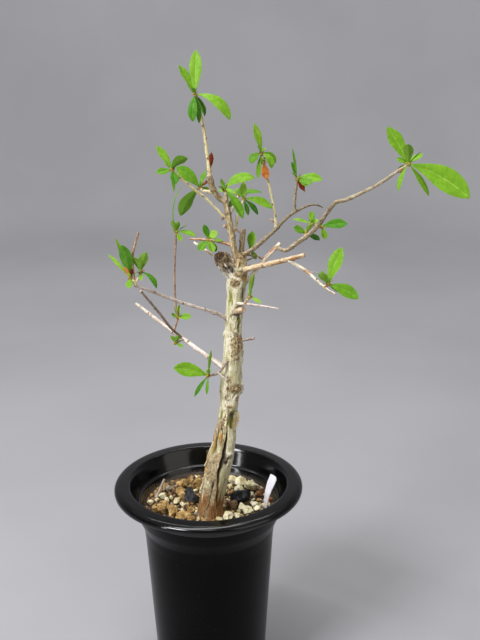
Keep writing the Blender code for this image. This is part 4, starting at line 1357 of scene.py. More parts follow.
    def build(self) -> list[bpy.types.Object]:
        """The twigs, the buds, the living leaves and the dried ones.

        Returns:
            The pieces.
        """
        dresser = Boughs((), ())
        stems: dict[Bark, list[Skin]] = {}
        buds, places, leaves = [], [], []
        for mass in self.masses:
            young, extra = random.Random(mass.name), random.Random(mass.name + " sprouts")
            for number, twig in enumerate(mass.twigs):
                sweep = Sweep.through(twig.foot, twig.radius, twig.runs, 0.7)
                limb = Limb(f"{mass.name} {number}", twig.foot, twig.radius, twig.runs, twig.bark, End.TIP, 5.0)
                relief, values = dresser.relief(limb, sweep, 18)
                stems.setdefault(twig.bark, []).append(sweep.skin(relief, End.TIP, values))
                for rosette in twig.rosettes:
                    spot = np.array([np.interp(rosette.along * sweep.distance[-1], sweep.distance, c) for c in sweep.line.T])
                    ring = int(np.searchsorted(sweep.distance, rosette.along * sweep.distance[-1] - 1e-6))
                    buds.append((spot, sweep.tangent[min(ring, len(sweep.line) - 1)]))
                    for leaf in (*rosette.leaves, *self.young_leaves(rosette, young), *self.sprouts(extra)):
                        places.append(spot)
                        leaves.append(self.toned(leaf, extra))
        spots = np.array(places)
        kept = self.clear(spots, leaves)
        LOG.info("%d leaves, %d left out where they would touch a limb", len(leaves), int((~kept).sum()))
        nodes = [mass.name for mass in self.masses]
        finishes = blade_finishes()
        pieces = []
        for name, dry in (("leaves", False), ("dried_leaves_and_scales", True)):
            skins = []
            for rows, large in ((self.large_rows, True), (self.small_rows, False)):
                chosen = [
                    i
                    for i, leaf in enumerate(leaves)
                    if kept[i] and (leaf.tone in DRY) is dry and (leaf.length >= self.large_leaf) is large
                ]
                if chosen:
                    skins.append(self.blade_skin(spots[chosen], [leaves[i] for i in chosen], rows))
            pieces.append(Skin.joined(skins).piece(name, finishes, 60.0))
        barks = list(stems)
        for number, bark in enumerate(barks):
            for skin in stems[bark]:
                skin.quad_finish[:] = number
                skin.triangle_finish[:] = number
        twigs = Skin.joined([skin for bark in barks for skin in stems[bark]])
        pieces.append(twigs.piece("twigs", [BARKS[bark].material() for bark in barks], 80.0))
        pieces.append(self.bud_skin(buds).piece("buds", [BUD.material()], 80.0))
        for piece in pieces:
            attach(piece, BODY)
            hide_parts(*nodes)
        return pieces

    def bud_skin(self, buds: list[tuple[Array, Array]]) -> Skin:
        """Egg-shaped buds: rings whose radius is the sine, and whose place along the bud is the cosine, of an angle.

        Args:
            buds: Where each bud sits and which way it points.

        Returns:
            Their joined skin.
        """
        turn = np.linspace(0.0, math.tau, 14, endpoint=False)
        skins = []
        for spot, tangent in buds:
            side = unit(np.cross(np.eye(3)[int(np.abs(tangent).argmin())], tangent))
            above = np.cross(tangent, side)
            swing = np.linspace(math.pi - 0.25, 0.25, 9)[:, None]
            ring = np.cos(turn)[:, None] * side + np.sin(turn)[:, None] * above
            grid = spot + ring[None] * (self.bud_radius * np.sin(swing))[..., None]
            grid = grid + tangent * (1.5 * self.bud_radius * np.cos(swing))[..., None]
            grid = grid + ring[None] * (0.18 * noise(grid, 0.9, 21))[..., None]
            skins.append(Skin.rings(grid, values={"grain": grid}))
        return Skin.joined(skins)


# Pot, soil and label


def filleted(profile: Array, radius: float, spacing: float) -> Array:
    """A broken line with its corners rounded and its long spans divided.

    A corner becomes a quadratic curve between the two places that lie the radius from it, or 0.45 of the span where
    that is shorter, with the corner as its middle control point.

    Args:
        profile: Radius and height pairs in millimetres.
        radius: How far from a corner its curve starts.
        spacing: The longest span that is left undivided.

    Returns:
        The finer line.
    """
    corner, before, after = profile[1:-1], profile[:-2], profile[2:]
    back, ahead = before - corner, after - corner
    reach_back = np.minimum(radius, 0.45 * np.linalg.norm(back, axis=1))[:, None]
    reach_ahead = np.minimum(radius, 0.45 * np.linalg.norm(ahead, axis=1))[:, None]
    start, end = corner + unit(back) * reach_back, corner + unit(ahead) * reach_ahead
    u = np.linspace(0.0, 1.0, 5)[None, :, None]
    curve = (1 - u) ** 2 * start[:, None] + 2 * u * (1 - u) * corner[:, None] + u**2 * end[:, None]
    line = np.concatenate((profile[:1], curve.reshape(-1, 2), profile[-1:]))
    spans = np.linalg.norm(np.diff(line, axis=0), axis=1)
    counts = np.maximum(1, np.ceil(spans / spacing)).astype(int)
    index = np.repeat(np.arange(len(spans)), counts)
    share = np.concatenate([np.arange(count) / count for count in counts])[:, None]
    return np.concatenate((line[index] * (1 - share) + line[index + 1] * share, line[-1:]))


@dataclass
class Pot:
    """A tall tapered pot whose neck flares to a broad rim with a turned-down lip, with drain holes underneath."""

    height: float = 180.0
    underside_radius: float = 43.6
    neck_radius: float = 52.1
    neck_height: float = 143.0
    rim_radius: float = 75.0
    mouth_radius: float = 62.5
    step_height: float = 165.0
    wall: float = 2.2
    floor: float = 2.6
    drain_count: int = 6
    drain_radius: float = 4.0
    drain_ring: float = 27.0
    segments: int = 192
    matt_height: float = 163.4  # the outside is glossy only above this

    def inside(self, height: float) -> float:
        """The inner radius at a height below the step.

        Args:
            height: The height in millimetres.

        Returns:
            The radius.
        """
        if height > self.neck_height:
            share = (height - self.neck_height) / (self.step_height - self.neck_height)
            return self.neck_radius - self.wall + share**2 * 4.0
        taper = (self.neck_radius - self.underside_radius) * height / self.neck_height
        return self.underside_radius + taper - self.wall

    def profile(self) -> Array:
        """The section as radius and height pairs: under the foot, up the outside, over the rim and down the inside.

        Returns:
            The pairs in millimetres.
        """
        top, rim, step = self.height, self.rim_radius, self.step_height
        foot = [(0.0, 0.0), (self.underside_radius - 1.2, 0.0), (self.underside_radius + 0.15, 2.0)]
        neck = [(self.neck_radius - 0.5, self.neck_height - 8.0), (self.neck_radius + 0.7, self.neck_height + 1.5)]
        body = [*neck, (54.6, 149.0), (56.9, 154.0), (58.5, 159.5), (59.6, 163.5), (61.2, 168.0), (64.4, 173.0)]
        lip = [(69.0, 175.2), (rim - 2.0, top - 6.0), (rim - 0.2, top - 6.0), (rim, top - 3.4), (rim - 1.2, top - 1.6)]
        land = [(rim - 4.0, top - 0.4), (self.mouth_radius + 1.2, top), (self.mouth_radius, top - 0.6)]
        mouth = [(61.0, top - 3.0), (58.5, top - 9.0), (56.5, step + 0.6), (self.inside(step) + 0.6, step + 0.3)]
        ledge = [(self.inside(step), step - 0.6), (self.inside(160.4), 160.4), (self.inside(160.0) - 0.5, 159.9)]
        inner = [(self.inside(h), h) for h in (156.0, 150.0, self.neck_height, self.floor + 3.0)]
        bottom = [(self.inside(self.floor) - 3.0, self.floor), (0.0, self.floor)]
        return np.array(foot + body + lip + land + mouth + ledge + inner + bottom)

    def skin(self) -> Skin:
        """The pot's skin, the section turned about the axis, with dust where grit has been poured past the wall.

        Returns:
            The skin.
        """
        fine = filleted(self.profile(), 1.3, 5.0)[1:-1]
        angle = np.linspace(0.0, math.tau, self.segments, endpoint=False)
        radius, height = fine[:, :1], fine[:, 1:]
        grid = np.stack((radius * np.cos(angle), radius * np.sin(angle), height + 0.0 * angle), axis=-1)
        inner = (radius < 60.5) & (height > 150.0) & (np.arange(len(fine))[:, None] > np.argmax(fine[:, 1]))
        dust = 0.9 * inner * np.exp(-np.abs(height - 160.0) / 2.5) + 0.1
        outer = np.arange(len(fine) - 1) < np.argmax(fine[:, 1])
        matt = (outer & (fine[:-1, 1] < self.matt_height)).astype(int)
        return Skin.rings(grid, matt, 1, {"dust": dust + 0.0 * angle})

    def drilled(self, pot: bpy.types.Object) -> None:
        """Cuts the drain holes through the floor with short rods, and leaves the pot a plain mesh.

        Args:
            pot: The pot's object.
        """
        angle = np.linspace(0.0, math.tau, 28, endpoint=False)
        rods = []
        for turn in np.linspace(0.0, math.tau, self.drain_count, endpoint=False):
            x, y = self.drain_ring * math.cos(turn), self.drain_ring * math.sin(turn)
            level = np.array((-2.0, self.floor + 2.0))[:, None] + 0.0 * angle
            rods.append(
                Skin.rings(
                    np.stack(
                        (
                            x + self.drain_radius * np.cos(angle) + 0.0 * level,
                            y + self.drain_radius * np.sin(angle) + 0.0 * level,
                            level,
                        ),
                        axis=-1,
                    ),
                    values={"dust": 0.0 * level},
                )
            )
        cutter = Skin.joined(rods).piece("drill", [])
        cut = pot.modifiers.new("drain", "BOOLEAN")
        cut.operation = "DIFFERENCE"
        cut.object = cutter
        bpy.context.view_layer.update()
        plain = bpy.data.meshes.new_from_object(pot.evaluated_get(bpy.context.evaluated_depsgraph_get()))
        pot.modifiers.clear()
        pot.data = plain
        plain.set_sharp_from_angle(angle=math.radians(40.0))
        bpy.data.objects.remove(cutter)

    def build(self) -> list[bpy.types.Object]:
        """The pot.

        Returns:
            The pot's one piece.
        """
        pot = self.skin().piece("moulded_pot", [LIP_PLASTIC.material(), BODY_PLASTIC.material()], 40.0)
        self.drilled(pot)
        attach(pot, BODY)
        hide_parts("pot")
        return [pot]


class Grit(Enum):
    """The kinds of grit in the potting mix."""

    OCHRE = 0
    PUMICE = 1
    BROWN = 2
    RUST = 3
    CHARCOAL = 4
    WOOD = 5


GRITS = {
    Grit.OCHRE: Mineral("baked_ochre_clay", 0.95, 1.5, "#6b5029", "#a28149", "#cfae76"),
    Grit.PUMICE: Mineral("cream_pumice", 0.9, 1.5, "#bfb07c", "#e8deb0", "#fbf6de", pore=0.6),
    Grit.BROWN: Mineral("brown_lava", 0.95, 1.5, "#57402a", "#84664a", "#ac8f6c"),
    Grit.RUST: Mineral("rusty_bark_chip", 0.85, 1.5, "#6a3a1c", "#a1683a", "#c48c56", pore=0.5),
    Grit.CHARCOAL: Mineral("horticultural_charcoal", 0.5, 1.5, "#0a0b0e", "#1a1d22", "#343940", pore=1.6),
    Grit.WOOD: Mineral("grey_wood_chip", 0.9, 1.5, "#6f6452", "#9f937c", "#c4b9a2", pore=0.5),
}


@dataclass(frozen=True)
class Stone:
    """A stone that can be told apart in the mix: its kind, its place and how wide it is."""

    kind: Grit
    x: float
    y: float
    size: float
    lift: float = 0.3  # how far its middle lies above the bed, as a share of its size


@dataclass
class Soil:
    """The potting mix: an uneven bed, the stones that show, and a seeded scatter of smaller ones."""

    pot: Pot
    stones: tuple[Stone, ...]
    trunk: tuple[float, float] = (2.0, -19.0)
    trunk_room: float = 9.0
    label: tuple[float, float] = (45.3, -10.0)
    level: float = 159.5
    rough: float = 1.3
    tries: int = 5200
    largest: float = 4.6
    smallest: float = 1.5

    def bed(self, x: Array, y: Array) -> Array:
        """The bed's height: the level, plus waves that fade out at the wall, the trunk and the label, plus fine grain.

        Args:
            x: The places' distances to the right.
            y: Their distances to the back.

        Returns:
            The height at each place.
        """
        waves = np.sin(x / 4.1) * np.cos(y / 5.3) + 0.6 * np.sin(x / 2.3 - y / 3.1)
        fade = np.clip((49.0 - np.hypot(x, y)) / 6.0, 0.0, 1.0)
        near = np.clip((np.hypot(x - self.trunk[0], y - self.trunk[1]) - 12.0) / 6.0, 0.0, 1.0)
        near = near * np.clip((np.hypot(x - self.label[0], y - self.label[1]) - 4.0) / 6.0, 0.0, 1.0)
        flat = np.stack((x, y, 0.0 * x), axis=-1)
        return self.level + self.rough * waves * fade * near + 0.25 * noise(flat, 1.3, 41) * fade

    def bed_skin(self) -> Skin:
        """The bed's closed skin: the pot's inside turned about the axis, under a top of rings at the bed's height.

        Returns:
            The skin.
        """
        angle = np.linspace(0.0, math.tau, 160, endpoint=False)
        foot = self.pot.floor + 0.3
        walls = [(self.pot.inside(foot) - 6.0, foot), (self.pot.inside(foot + 4.0) - 0.6, foot + 4.0)]
        walls += [(self.pot.inside(h) - 0.6, h) for h in (self.pot.neck_height, 150.0, 156.0)]
        edge = self.pot.inside(self.level) - 0.6
        rings = np.linspace(edge, 0.6, 44)
        profile = np.array([(0.6, foot), *walls, *[(ring, self.level) for ring in rings]])
        radius = profile[:, :1]
        x, y = radius * np.cos(angle), radius * np.sin(angle)
        top = np.arange(len(profile))[:, None] >= len(walls) + 1
        return Skin.rings(np.stack((x, y, np.where(top, self.bed(x, y), profile[:, 1:])), axis=-1))

    def mixed_kind(self, x: float, chance: random.Random) -> Grit:
        """A kind for a small stone: mostly ochre on the left, more pumice on the right.

        Args:
            x: The stone's distance to the right of the middle.
            chance: The random numbers to draw from.

        Returns:
            The kind.
        """
        right = min(1.0, max(0.0, (x + 12.0) / 30.0))
        weights = (5.5 - 4.2 * right, 1.2 + 5.0 * right, 1.1 + 0.5 * right, 0.3, 0.2, 0.35)
        return chance.choices(tuple(Grit), weights)[0]

    def scattered(self) -> list[Stone]:
        """Small stones at seeded places, the largest first, each kept where it has room beside the others.

        Returns:
            The stones.
        """
        chance = random.Random("potting mix")
        placed = np.array([(stone.x, stone.y, stone.size / 2.0) for stone in self.stones])
        placed = np.concatenate((placed, [(*self.trunk, self.trunk_room), (*self.label, 1.5)]))
        made = []
        for number in range(self.tries):
            share = number / self.tries
            size = self.largest + (self.smallest - self.largest) * share**0.7
            size *= chance.uniform(0.85, 1.15)
            reach = (self.pot.inside(self.level) - 0.8 - size / 2.0) * math.sqrt(chance.random())
            turn = chance.uniform(0.0, math.tau)
            x, y = reach * math.cos(turn), reach * math.sin(turn)
            gaps = np.hypot(placed[:, 0] - x, placed[:, 1] - y) - 0.82 * (placed[:, 2] + size / 2.0)
            if gaps.min() > 0.0:
                placed = np.concatenate((placed, [(x, y, size / 2.0)]))
                deep = 0.22 - 0.5 * max(0.0, noise(np.array((x, y, 0.0)), 7.0, 42)) - 0.4 * (y > 30.0)
                made.append(Stone(self.mixed_kind(x, chance), x, y, size, deep))
        return made

    def stone_skin(self, stones: list[Stone], seed: int, rows: int, columns: int) -> Skin:
        """Crushed stones: balls cut by flat planes, then squashed, turned and pitted.

        Along each direction the radius is the least of a plane's distance over the cosine between the direction and
        the plane's normal, and never over the ball's.

        Args:
            stones: The stones.
            seed: A whole number that picks the random shapes.
            rows: How many rings of points each stone has.
            columns: How many points each ring has.

        Returns:
            Their joined skin.
        """
        chance = np.random.default_rng(seed)
        count = len(stones)
        lift = np.linspace(-math.pi / 2, math.pi / 2, rows + 2)[1:-1]
        turn = np.linspace(0.0, math.tau, columns, endpoint=False)
        ball = direction(np.degrees(turn)[None] + 0.0 * lift[:, None], np.degrees(lift)[:, None] + 0.0 * turn)
        spots = np.concatenate((ball.reshape(-1, 3), ((0.0, 0.0, -1.0), (0.0, 0.0, 1.0))))
        normals = unit(chance.normal(size=(count, 9, 3)))
        depths = chance.uniform(0.5, 0.95, (count, 9))
        facing = np.einsum("pk,nfk->npf", spots, normals)
        reach = np.where(facing > 0.15, depths[:, None] / np.maximum(facing, 0.15), 9.0).min(axis=2).clip(0.0, 1.05)
        shape = spots[None] * reach[..., None]
        shift = chance.uniform(0, 90, (count, 1, 3))
        lumps = 0.14 * noise(spots[None] * 1.8 + shift, 1.0, 51) + 0.13 * noise(spots[None] * 4.5 + shift, 1.0, 52)
        lumps = lumps + 0.09 * noise(spots[None] * 9.0 + shift, 1.0, 53) * (rows > 12)
        shape = shape * (1.0 + lumps)[..., None]
        shape = shape * np.stack((np.ones(count), chance.uniform(0.75, 1.0, count), chance.uniform(0.6, 0.9, count)), -1)[:, None]
        first = unit(chance.normal(size=(count, 3)) * (1.0, 1.0, 0.35))
        second = unit(np.cross(first, chance.normal(size=(count, 3))))
        third = np.cross(first, second)
        size = np.array([stone.size for stone in stones])
        turned = shape[..., :1] * first[:, None] + shape[..., 1:2] * second[:, None] + shape[..., 2:] * third[:, None]
        x, y = np.array([stone.x for stone in stones]), np.array([stone.y for stone in stones])
        height = self.bed(x, y) + size * np.array([stone.lift for stone in stones])
        points = turned * (size / 2.0)[:, None, None] + np.stack((x, y, height), -1)[:, None]
        last = rows * columns
        quads = grid_faces(rows, columns)
        j = np.arange(columns)
        k = (j + 1) % columns
        base = last - columns
        fans = np.concatenate((np.stack((0 * j + last, k, j), -1), np.stack((0 * j + last + 1, base + j, base + k), -1)))
        start = np.arange(count)[:, None, None] * len(spots)
        finish = np.array([stone.kind.value for stone in stones])
        return Skin(
            points.reshape(-1, 3),
            (quads[None] + start).reshape(-1, 4),
            (fans[None] + start).reshape(-1, 3),
            np.repeat(finish, len(quads)),
            np.repeat(finish, len(fans)),
        )

    def build(self) -> list[bpy.types.Object]:
        """The bed and the stones.

        Returns:
            The three pieces.
        """
        bed = self.bed_skin().piece("soil_bed", [EARTH.material()], 60.0)
        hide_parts("soil")
        finishes = [GRITS[kind].material() for kind in Grit]
        small = self.scattered()
        LOG.info("%d placed and %d scattered stones", len(self.stones), len(small))
        fine = self.stone_skin(small, 7, 7, 10).piece("scattered_grit", finishes, 28.0)
        coarse = self.stone_skin(list(self.stones), 9, 24, 34).piece("larger_stones", finishes, 24.0)
        for piece in (bed, fine, coarse):
            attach(piece, BODY)
        return [bed, fine, coarse]


@dataclass
class Label:
    """The blank plant label: a tapered strip, clipped at one corner, bowed a little, and askew in the soil."""

    foot: tuple[float, float, float] = (45.3, -10.0, 160.1)
    length: float = 29.0
    width: float = 6.7
    foot_width: float = 2.1
    thickness: float = 0.8
    corner: float = 2.2
    shoulder: float = 0.8
    heading: float = -40.0
    lean: float = 13.5
    bow: float = -2.8

    def build(self) -> list[bpy.types.Object]:
        """The label: a grid across and up the strip, carried round its two faces.

        Its half width grows from the foot to the shoulder. A point stands off the flat strip by the bow times the
        sine of pi times its share of the length.

        Returns:
            The label's one piece.
        """
        rows = 40
        t = np.linspace(0.0, 1.0, rows)
        grow = np.clip(t / self.shoulder, 0.0, 1.0)
        half = 0.5 * (self.foot_width + (self.width - self.foot_width) * grow)
        s = np.concatenate((np.linspace(1.0, -1.0, 9), np.linspace(-1.0, 1.0, 9)))
        face = np.concatenate((np.full(9, 0.5), np.full(9, -0.5))) * self.thickness
        across = half[:, None] * s
        up = self.length * t[:, None] + 0.0 * s
        over = np.clip(across + up - (self.length + self.width / 2.0 - self.corner), 0.0, None)
        across, up = across - over / 2.0, up - over / 2.0
        off = face + self.bow * np.sin(math.pi * t)[:, None] - 0.25 * (across / (self.width / 2.0)) ** 2
        flat = np.stack((across, off, up), axis=-1)
        turn = Matrix.Rotation(math.radians(self.lean), 3, "Y") @ Matrix.Rotation(math.radians(self.heading), 3, "Z")
        grid = flat @ np.array(turn).T + np.array(self.foot)
        earth = np.exp(-self.length * t / 4.0)[:, None] + 0.0 * s
        label = Skin.rings(grid, values={"earth": earth}).piece("blank_label", [LABEL_PLASTIC.material()], 40.0)
        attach(label, BODY)
        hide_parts("plant_label")
        return [label]


CUT_WOOD = CutWood("sawn_end_grain", 0.85, 1.5)
ROTTEN_WOOD = CutWood("rotted_heartwood", 0.95, 1.5, "#4a3626", "#8a7254", "#1a120c")
PAPER_BARK = LivingBark(
    "peeling_paper_bark", 0.7, 1.5, "#5a3f28", "#b3a278", "#dccfa4", "#f6efd6", "#c9a45a", fibre=1.2, patch=3.0
)
BUD = LivingBark("resinous_bud", 0.5, 1.5, "#5a2a18", "#8a4a2a", "#a9793c", "#c8b84a", "#7fa03a", fibre=0.8, patch=1.5)
LIP_PLASTIC = MouldedPolypropylene("glossy_black_polypropylene", 0.11, 1.49, shine=0.45)
BODY_PLASTIC = MouldedPolypropylene("matt_black_polypropylene", 0.2, 1.49, shine=0.09)
LABEL_PLASTIC = LabelStyrene("white_polystyrene", 0.4, 1.59)
EARTH = Mineral("damp_fine_earth", 0.95, 1.5, "#1a1209", "#3d2c18", "#6e5636", pore=0.9)


# Studio


@dataclass
class Studio:
    """The pale sweep, soft lamps and a thin bright one, a dim sky and the camera."""

    floor_radius: float = 2.6
    wall_height: float = 2.4
    sky: float = 0.38

    def sweep(self) -> bpy.types.Object:
        """A round floor that curves up into a low wall on all sides.

        Beyond three fifths of its radius the floor rises by the wall's height times the cube of the share left.

        Returns:
            The floor.
        """
        angle = np.linspace(0.0, math.tau, 96, endpoint=False)
        share = np.linspace(0.0005, 1.0, 60)[:, None]
        radius = self.floor_radius * (1.0 - (1.0 - share) ** 1.3)
        height = self.wall_height * np.clip((share - 0.55) / 0.45, 0.0, None) ** 3
        grid = np.stack((radius * np.cos(angle), radius * np.sin(angle), height + 0.0 * angle), axis=-1)
        faces = grid_faces(*grid.shape[:2])
        mesh = bpy.data.meshes.new("paper_sweep")
        mesh.from_pydata(grid.reshape(-1, 3).tolist(), [], [*faces[:, ::-1].tolist(), list(range(len(angle)))])
        mesh.shade_smooth()
        mesh.materials.append(StudioPaper("pale_paper", 0.9, 1.5).material())
        item = bpy.data.objects.new("paper_sweep", mesh)
        bpy.context.scene.collection.objects.link(item)
        return item

    def lamp(self, name: str, place: tuple, aim: tuple, size: tuple[float, float], power: float, colour: str) -> None:
        """A soft lamp that faces a place.

        Args:
            name: The lamp's name.
            place: Where it hangs, in metres.
            aim: The place it faces.
            size: How wide and how high it is.
            power: Its power in watts.
            colour: Its colour in hex.
        """
        data = bpy.data.lights.new(name, "AREA")
        data.shape = "RECTANGLE"
        data.size, data.size_y = size
        data.energy, data.color = power, linear(colour)[:3]
        item = bpy.data.objects.new(name, data)
        item.location = place
        item.rotation_euler = (Vector(aim) - Vector(place)).to_track_quat("-Z", "Y").to_euler()
        bpy.context.scene.collection.objects.link(item)

    def camera(self) -> None:
        """The camera: near 50 mm, 17.3 degrees down from 0.64 m in front, rolled 0.4 degrees."""
        data = bpy.data.cameras.new("camera")
        data.lens, data.sensor_width = 50.0, 36.0
        item = bpy.data.objects.new("camera", data)
        turn = Matrix.Rotation(math.radians(90.0 - 17.3), 4, "X") @ Matrix.Rotation(math.radians(-0.4), 4, "Z")
        item.matrix_world = Matrix.Translation((0.026, -0.640, 0.513)) @ turn
        bpy.context.scene.collection.objects.link(item)
        bpy.context.scene.camera = item

    def build(self) -> None:
        """The sweep, the lamps, the sky and the camera."""
        self.sweep()
        self.lamp("window", (-0.8, -0.9, 1.25), (0.02, 0.0, 0.28), (0.5, 0.5), 22.0, "#fbfbff")
        self.lamp("bounce", (1.1, -0.8, 0.9), (0.02, 0.0, 0.3), (1.1, 1.1), 4.0, "#fff8ee")
        self.lamp("ceiling", (-0.1, 0.1, 1.6), (0.0, 0.0, 0.2), (1.2, 0.3), 9.0, "#ffffff")
        self.lamp("wall_wash", (0.0, 1.0, 1.9), (0.0, 2.3, 0.5), (1.6, 0.4), 16.0, "#ffffff")
        self.lamp("low_window", (-0.95, -0.85, 0.52), (0.02, 0.05, 0.17), (0.08, 0.5), 2.2, "#ffffff")
        self.lamp("tube", (-0.25, -0.35, 1.5), (0.0, 0.0, 0.18), (0.9, 0.04), 4.0, "#ffffff")
        world = bpy.data.worlds.new("sky")
        world.use_nodes = True
        world.node_tree.nodes["Background"].inputs["Color"].default_value = linear("#eeeef0")
        world.node_tree.nodes["Background"].inputs["Strength"].default_value = self.sky
        bpy.context.scene.world = world
        bpy.context.scene.view_settings.view_transform = "Standard"
        self.camera()


# The plant's own sizes

TRUNK = Limb(
    "trunk",
    (2, -19, 160),
    10.4,
    (
        Run(4, 0, 90, 9.4),
        Run(8, 46, 80, 9.2),
        Run(19, 16, 79, 9.6),
        Run(15, 17, 77, 9.9),
        Run(17, 29, 75, 8.7),
        Run(16, 46, 80, 7.0),
        Run(14, 26, 82, 6.9),
        Run(19, 51, 82, 7.9),
        Run(21, 47, 84, 6.9),
        Run(21, 74, 86, 6.4),
        Run(19, 45, 81, 6.5),
        Run(12, 56, 85, 7.5),
        Run(11, 30, 79, 6.3),
        Run(12, 64, 80, 4.3),
    ),
    Bark.TRUNK,
    End.DEAD,
    0.0,
)

TRUNK_MARKS = (
    Mark(299, -59, 8, 5.5, 0.5, scab=1.0),
    Mark(305, -168, 2.5, 2.2, 1.1, scab=0.4, pale=0.5),
    Mark(296, -8, 2.0, 2.2, 1.2, pale=1.0),
    Mark(291, -5, 2.4, 2.4, 1.2, scab=0.6),
    Mark(285, -2, 2.6, 2.6, 1.4, scab=0.4, pale=0.8),
    Mark(287, -95, 3.0, 3.0, 0.9, pale=0.6),
    Mark(264, -67, 4.5, 7.5, 0.6, scab=1.0),
    Mark(262, -8, 3.2, 3.0, 2.6, scab=0.4, pale=0.8),
    Mark(267, -16, 2.2, 2.4, 1.6, pale=0.9),
    Mark(261, -165, 5.0, 3.0, 0.5, scab=0.6),
    Mark(250, -70, 2.5, 6.5, 0.6, ochre=0.5),
    Mark(244, -60, 2.0, 5.0, -0.6, scab=0.5),
    Mark(239, -64, 9.0, 3.2, -0.6, green=1.1),
    Mark(241, -101, 9.0, 2.2, 0.5, scab=0.8),
    Mark(233, -115, 8.0, 4.0, 0.5, scab=0.6, ochre=0.5),
    Mark(220, -137, 9.5, 1.9, -0.9, green=1.2),
    Mark(219, -148, 9.0, 1.4, 0.3, ochre=1.0),
    Mark(243, -135, 8.0, 1.6, -0.4, green=0.9),
    Mark(224, -118, 9.0, 2.2, 0.5, ochre=0.6, scab=0.4),
    Mark(197, -128, 12.0, 5.0, 0.0, scab=0.5),
    Mark(200, -160, 10.0, 2.5, 0.5, ochre=0.9, scab=0.3),
    Mark(214, -52, 1.8, 5.5, 1.1, pale=0.9),
    Mark(210.5, -55, 1.1, 4.5, -0.5, scab=0.6),
    Mark(207.5, -64, 3.2, 3.0, 0.9, pale=0.5, ochre=0.4),
    Mark(207.5, -64, 1.2, 1.3, -1.8, scab=1.2),
    Mark(195, -104, 3.5, 2.8, 0.7, pale=0.5),
    Mark(188, -101, 3.2, 1.2, -1.0, scab=0.6),
    Mark(344, -100, 3.0, 4.5, -0.5, scab=1.1),
    Mark(351, -80, 3.0, 7.0, 0.4, scab=0.9),
    Mark(348, -35, 3.0, 3.0, 0.4, ochre=0.8),
    Mark(332, -125, 12.0, 2.4, 0.0, green=0.7),
    Mark(337, -45, 7.0, 1.2, -0.5, green=0.8),
    Mark(323, -70, 4.5, 2.6, -1.3, scab=0.8),
    Mark(314, -50, 8.0, 1.6, -0.5, green=0.9),
    Mark(300, -12, 3.0, 3.0, 0.4, pale=0.8),
    Mark(278, 140, 4.0, 4.0, 0.5, pale=0.9),
    Mark(316, -135, 3.0, 3.0, 0.5, pale=0.9),
    Mark(330, -55, 3.0, 3.0, 0.4, pale=0.8),
    Mark(338, 30, 4.0, 3.5, 0.5, pale=0.9),
    Mark(353, -15, 4.5, 4.0, 0.5, pale=0.9),
    Mark(361, 35, 4.0, 4.0, 0.4, pale=0.9),
    Mark(362, -100, 7.0, 7.0, 0.3, scab=0.9),
    Mark(366, -30, 4.0, 5.0, 0.3, ochre=0.8),
    Mark(290, -75, 6.0, 5.0, 0.4, scab=0.6),
    Mark(310, -95, 5.0, 3.0, 0.2, scab=0.55),
    Mark(271, -100, 5.0, 3.5, 0.3, scab=0.6),
    Mark(256, -110, 5.0, 3.0, 0.3, scab=0.55),
    Mark(256, -40, 3.0, 3.0, 0.4, scab=0.6),
    Mark(229, 70, 9.0, 3.0, -0.6, green=0.7),
    Mark(247, 120, 4.0, 4.0, 0.8, scab=1.0),
    Mark(276, 60, 5.0, 5.0, 0.6, scab=1.0),
    Mark(302, 110, 6.0, 4.0, 0.5, scab=0.9),
    Mark(328, 40, 8.0, 2.5, -0.4, green=0.8),
    Mark(205, 40, 3.0, 3.0, 0.9, scab=0.4),
    Mark(205, 40, 1.3, 1.3, -1.4, scab=1.0),
    Mark(190, 130, 10.0, 2.0, -1.0, scab=0.4),
)

TRUNK_SPLIT = ((166, -66), (172, -70), (180, -78), (201, -94), (213, -94), (228, -90), (234, -86))

TRUNK_FLAKES = (
    Flake(243, -44, 4.6, 5.0, 1.6, 20),
    Flake(239.5, -47, 5.4, 6.4, 1.5, 12),
    Flake(235, -52, 4.8, 5.6, 1.0, 6),
    Flake(231, -34, 10, 5.0, 2.0),
    Flake(246, -26, 8, 5.0, 1.4, -90),
    Flake(231, -150, 17, 3.2, 1.4, -90),
    Flake(226, -120, 16, 2.8, 1.2, -90),
    Flake(210, -168, 11, 3.4, 1.8, -80),
    Flake(200, 172, 10, 3.0, 1.6, 96),
    Flake(247, -108, 14, 2.6, 1.0, -84),
    Flake(285, 0, 4, 4.4, 1.2, 60),
    Flake(277, -12, 6, 3.0, 1.0, -80),
    Flake(260, 0, 4, 4.6, 1.4, 100),
    Flake(306, -170, 4, 3.0, 1.2, -70),
    Flake(292, -8, 4, 3.4, 1.2, -80),
    Flake(352, -30, 7, 3.6, 1.4, 80),
    Flake(354, -115, 8, 3.0, 1.8, 70),
    Flake(243, 95, 12, 3.4, 2.2),
    Flake(218, 130, 12, 3.2, 1.8, -88),
    Flake(268, 80, 6, 3.0, 1.6, 100),
    Flake(300, 60, 7, 3.0, 1.4, -95),
    Flake(188, -168, 9, 3.0, 1.2, -90),
    Flake(186, 20, 9, 3.0, 1.2, -90),
)

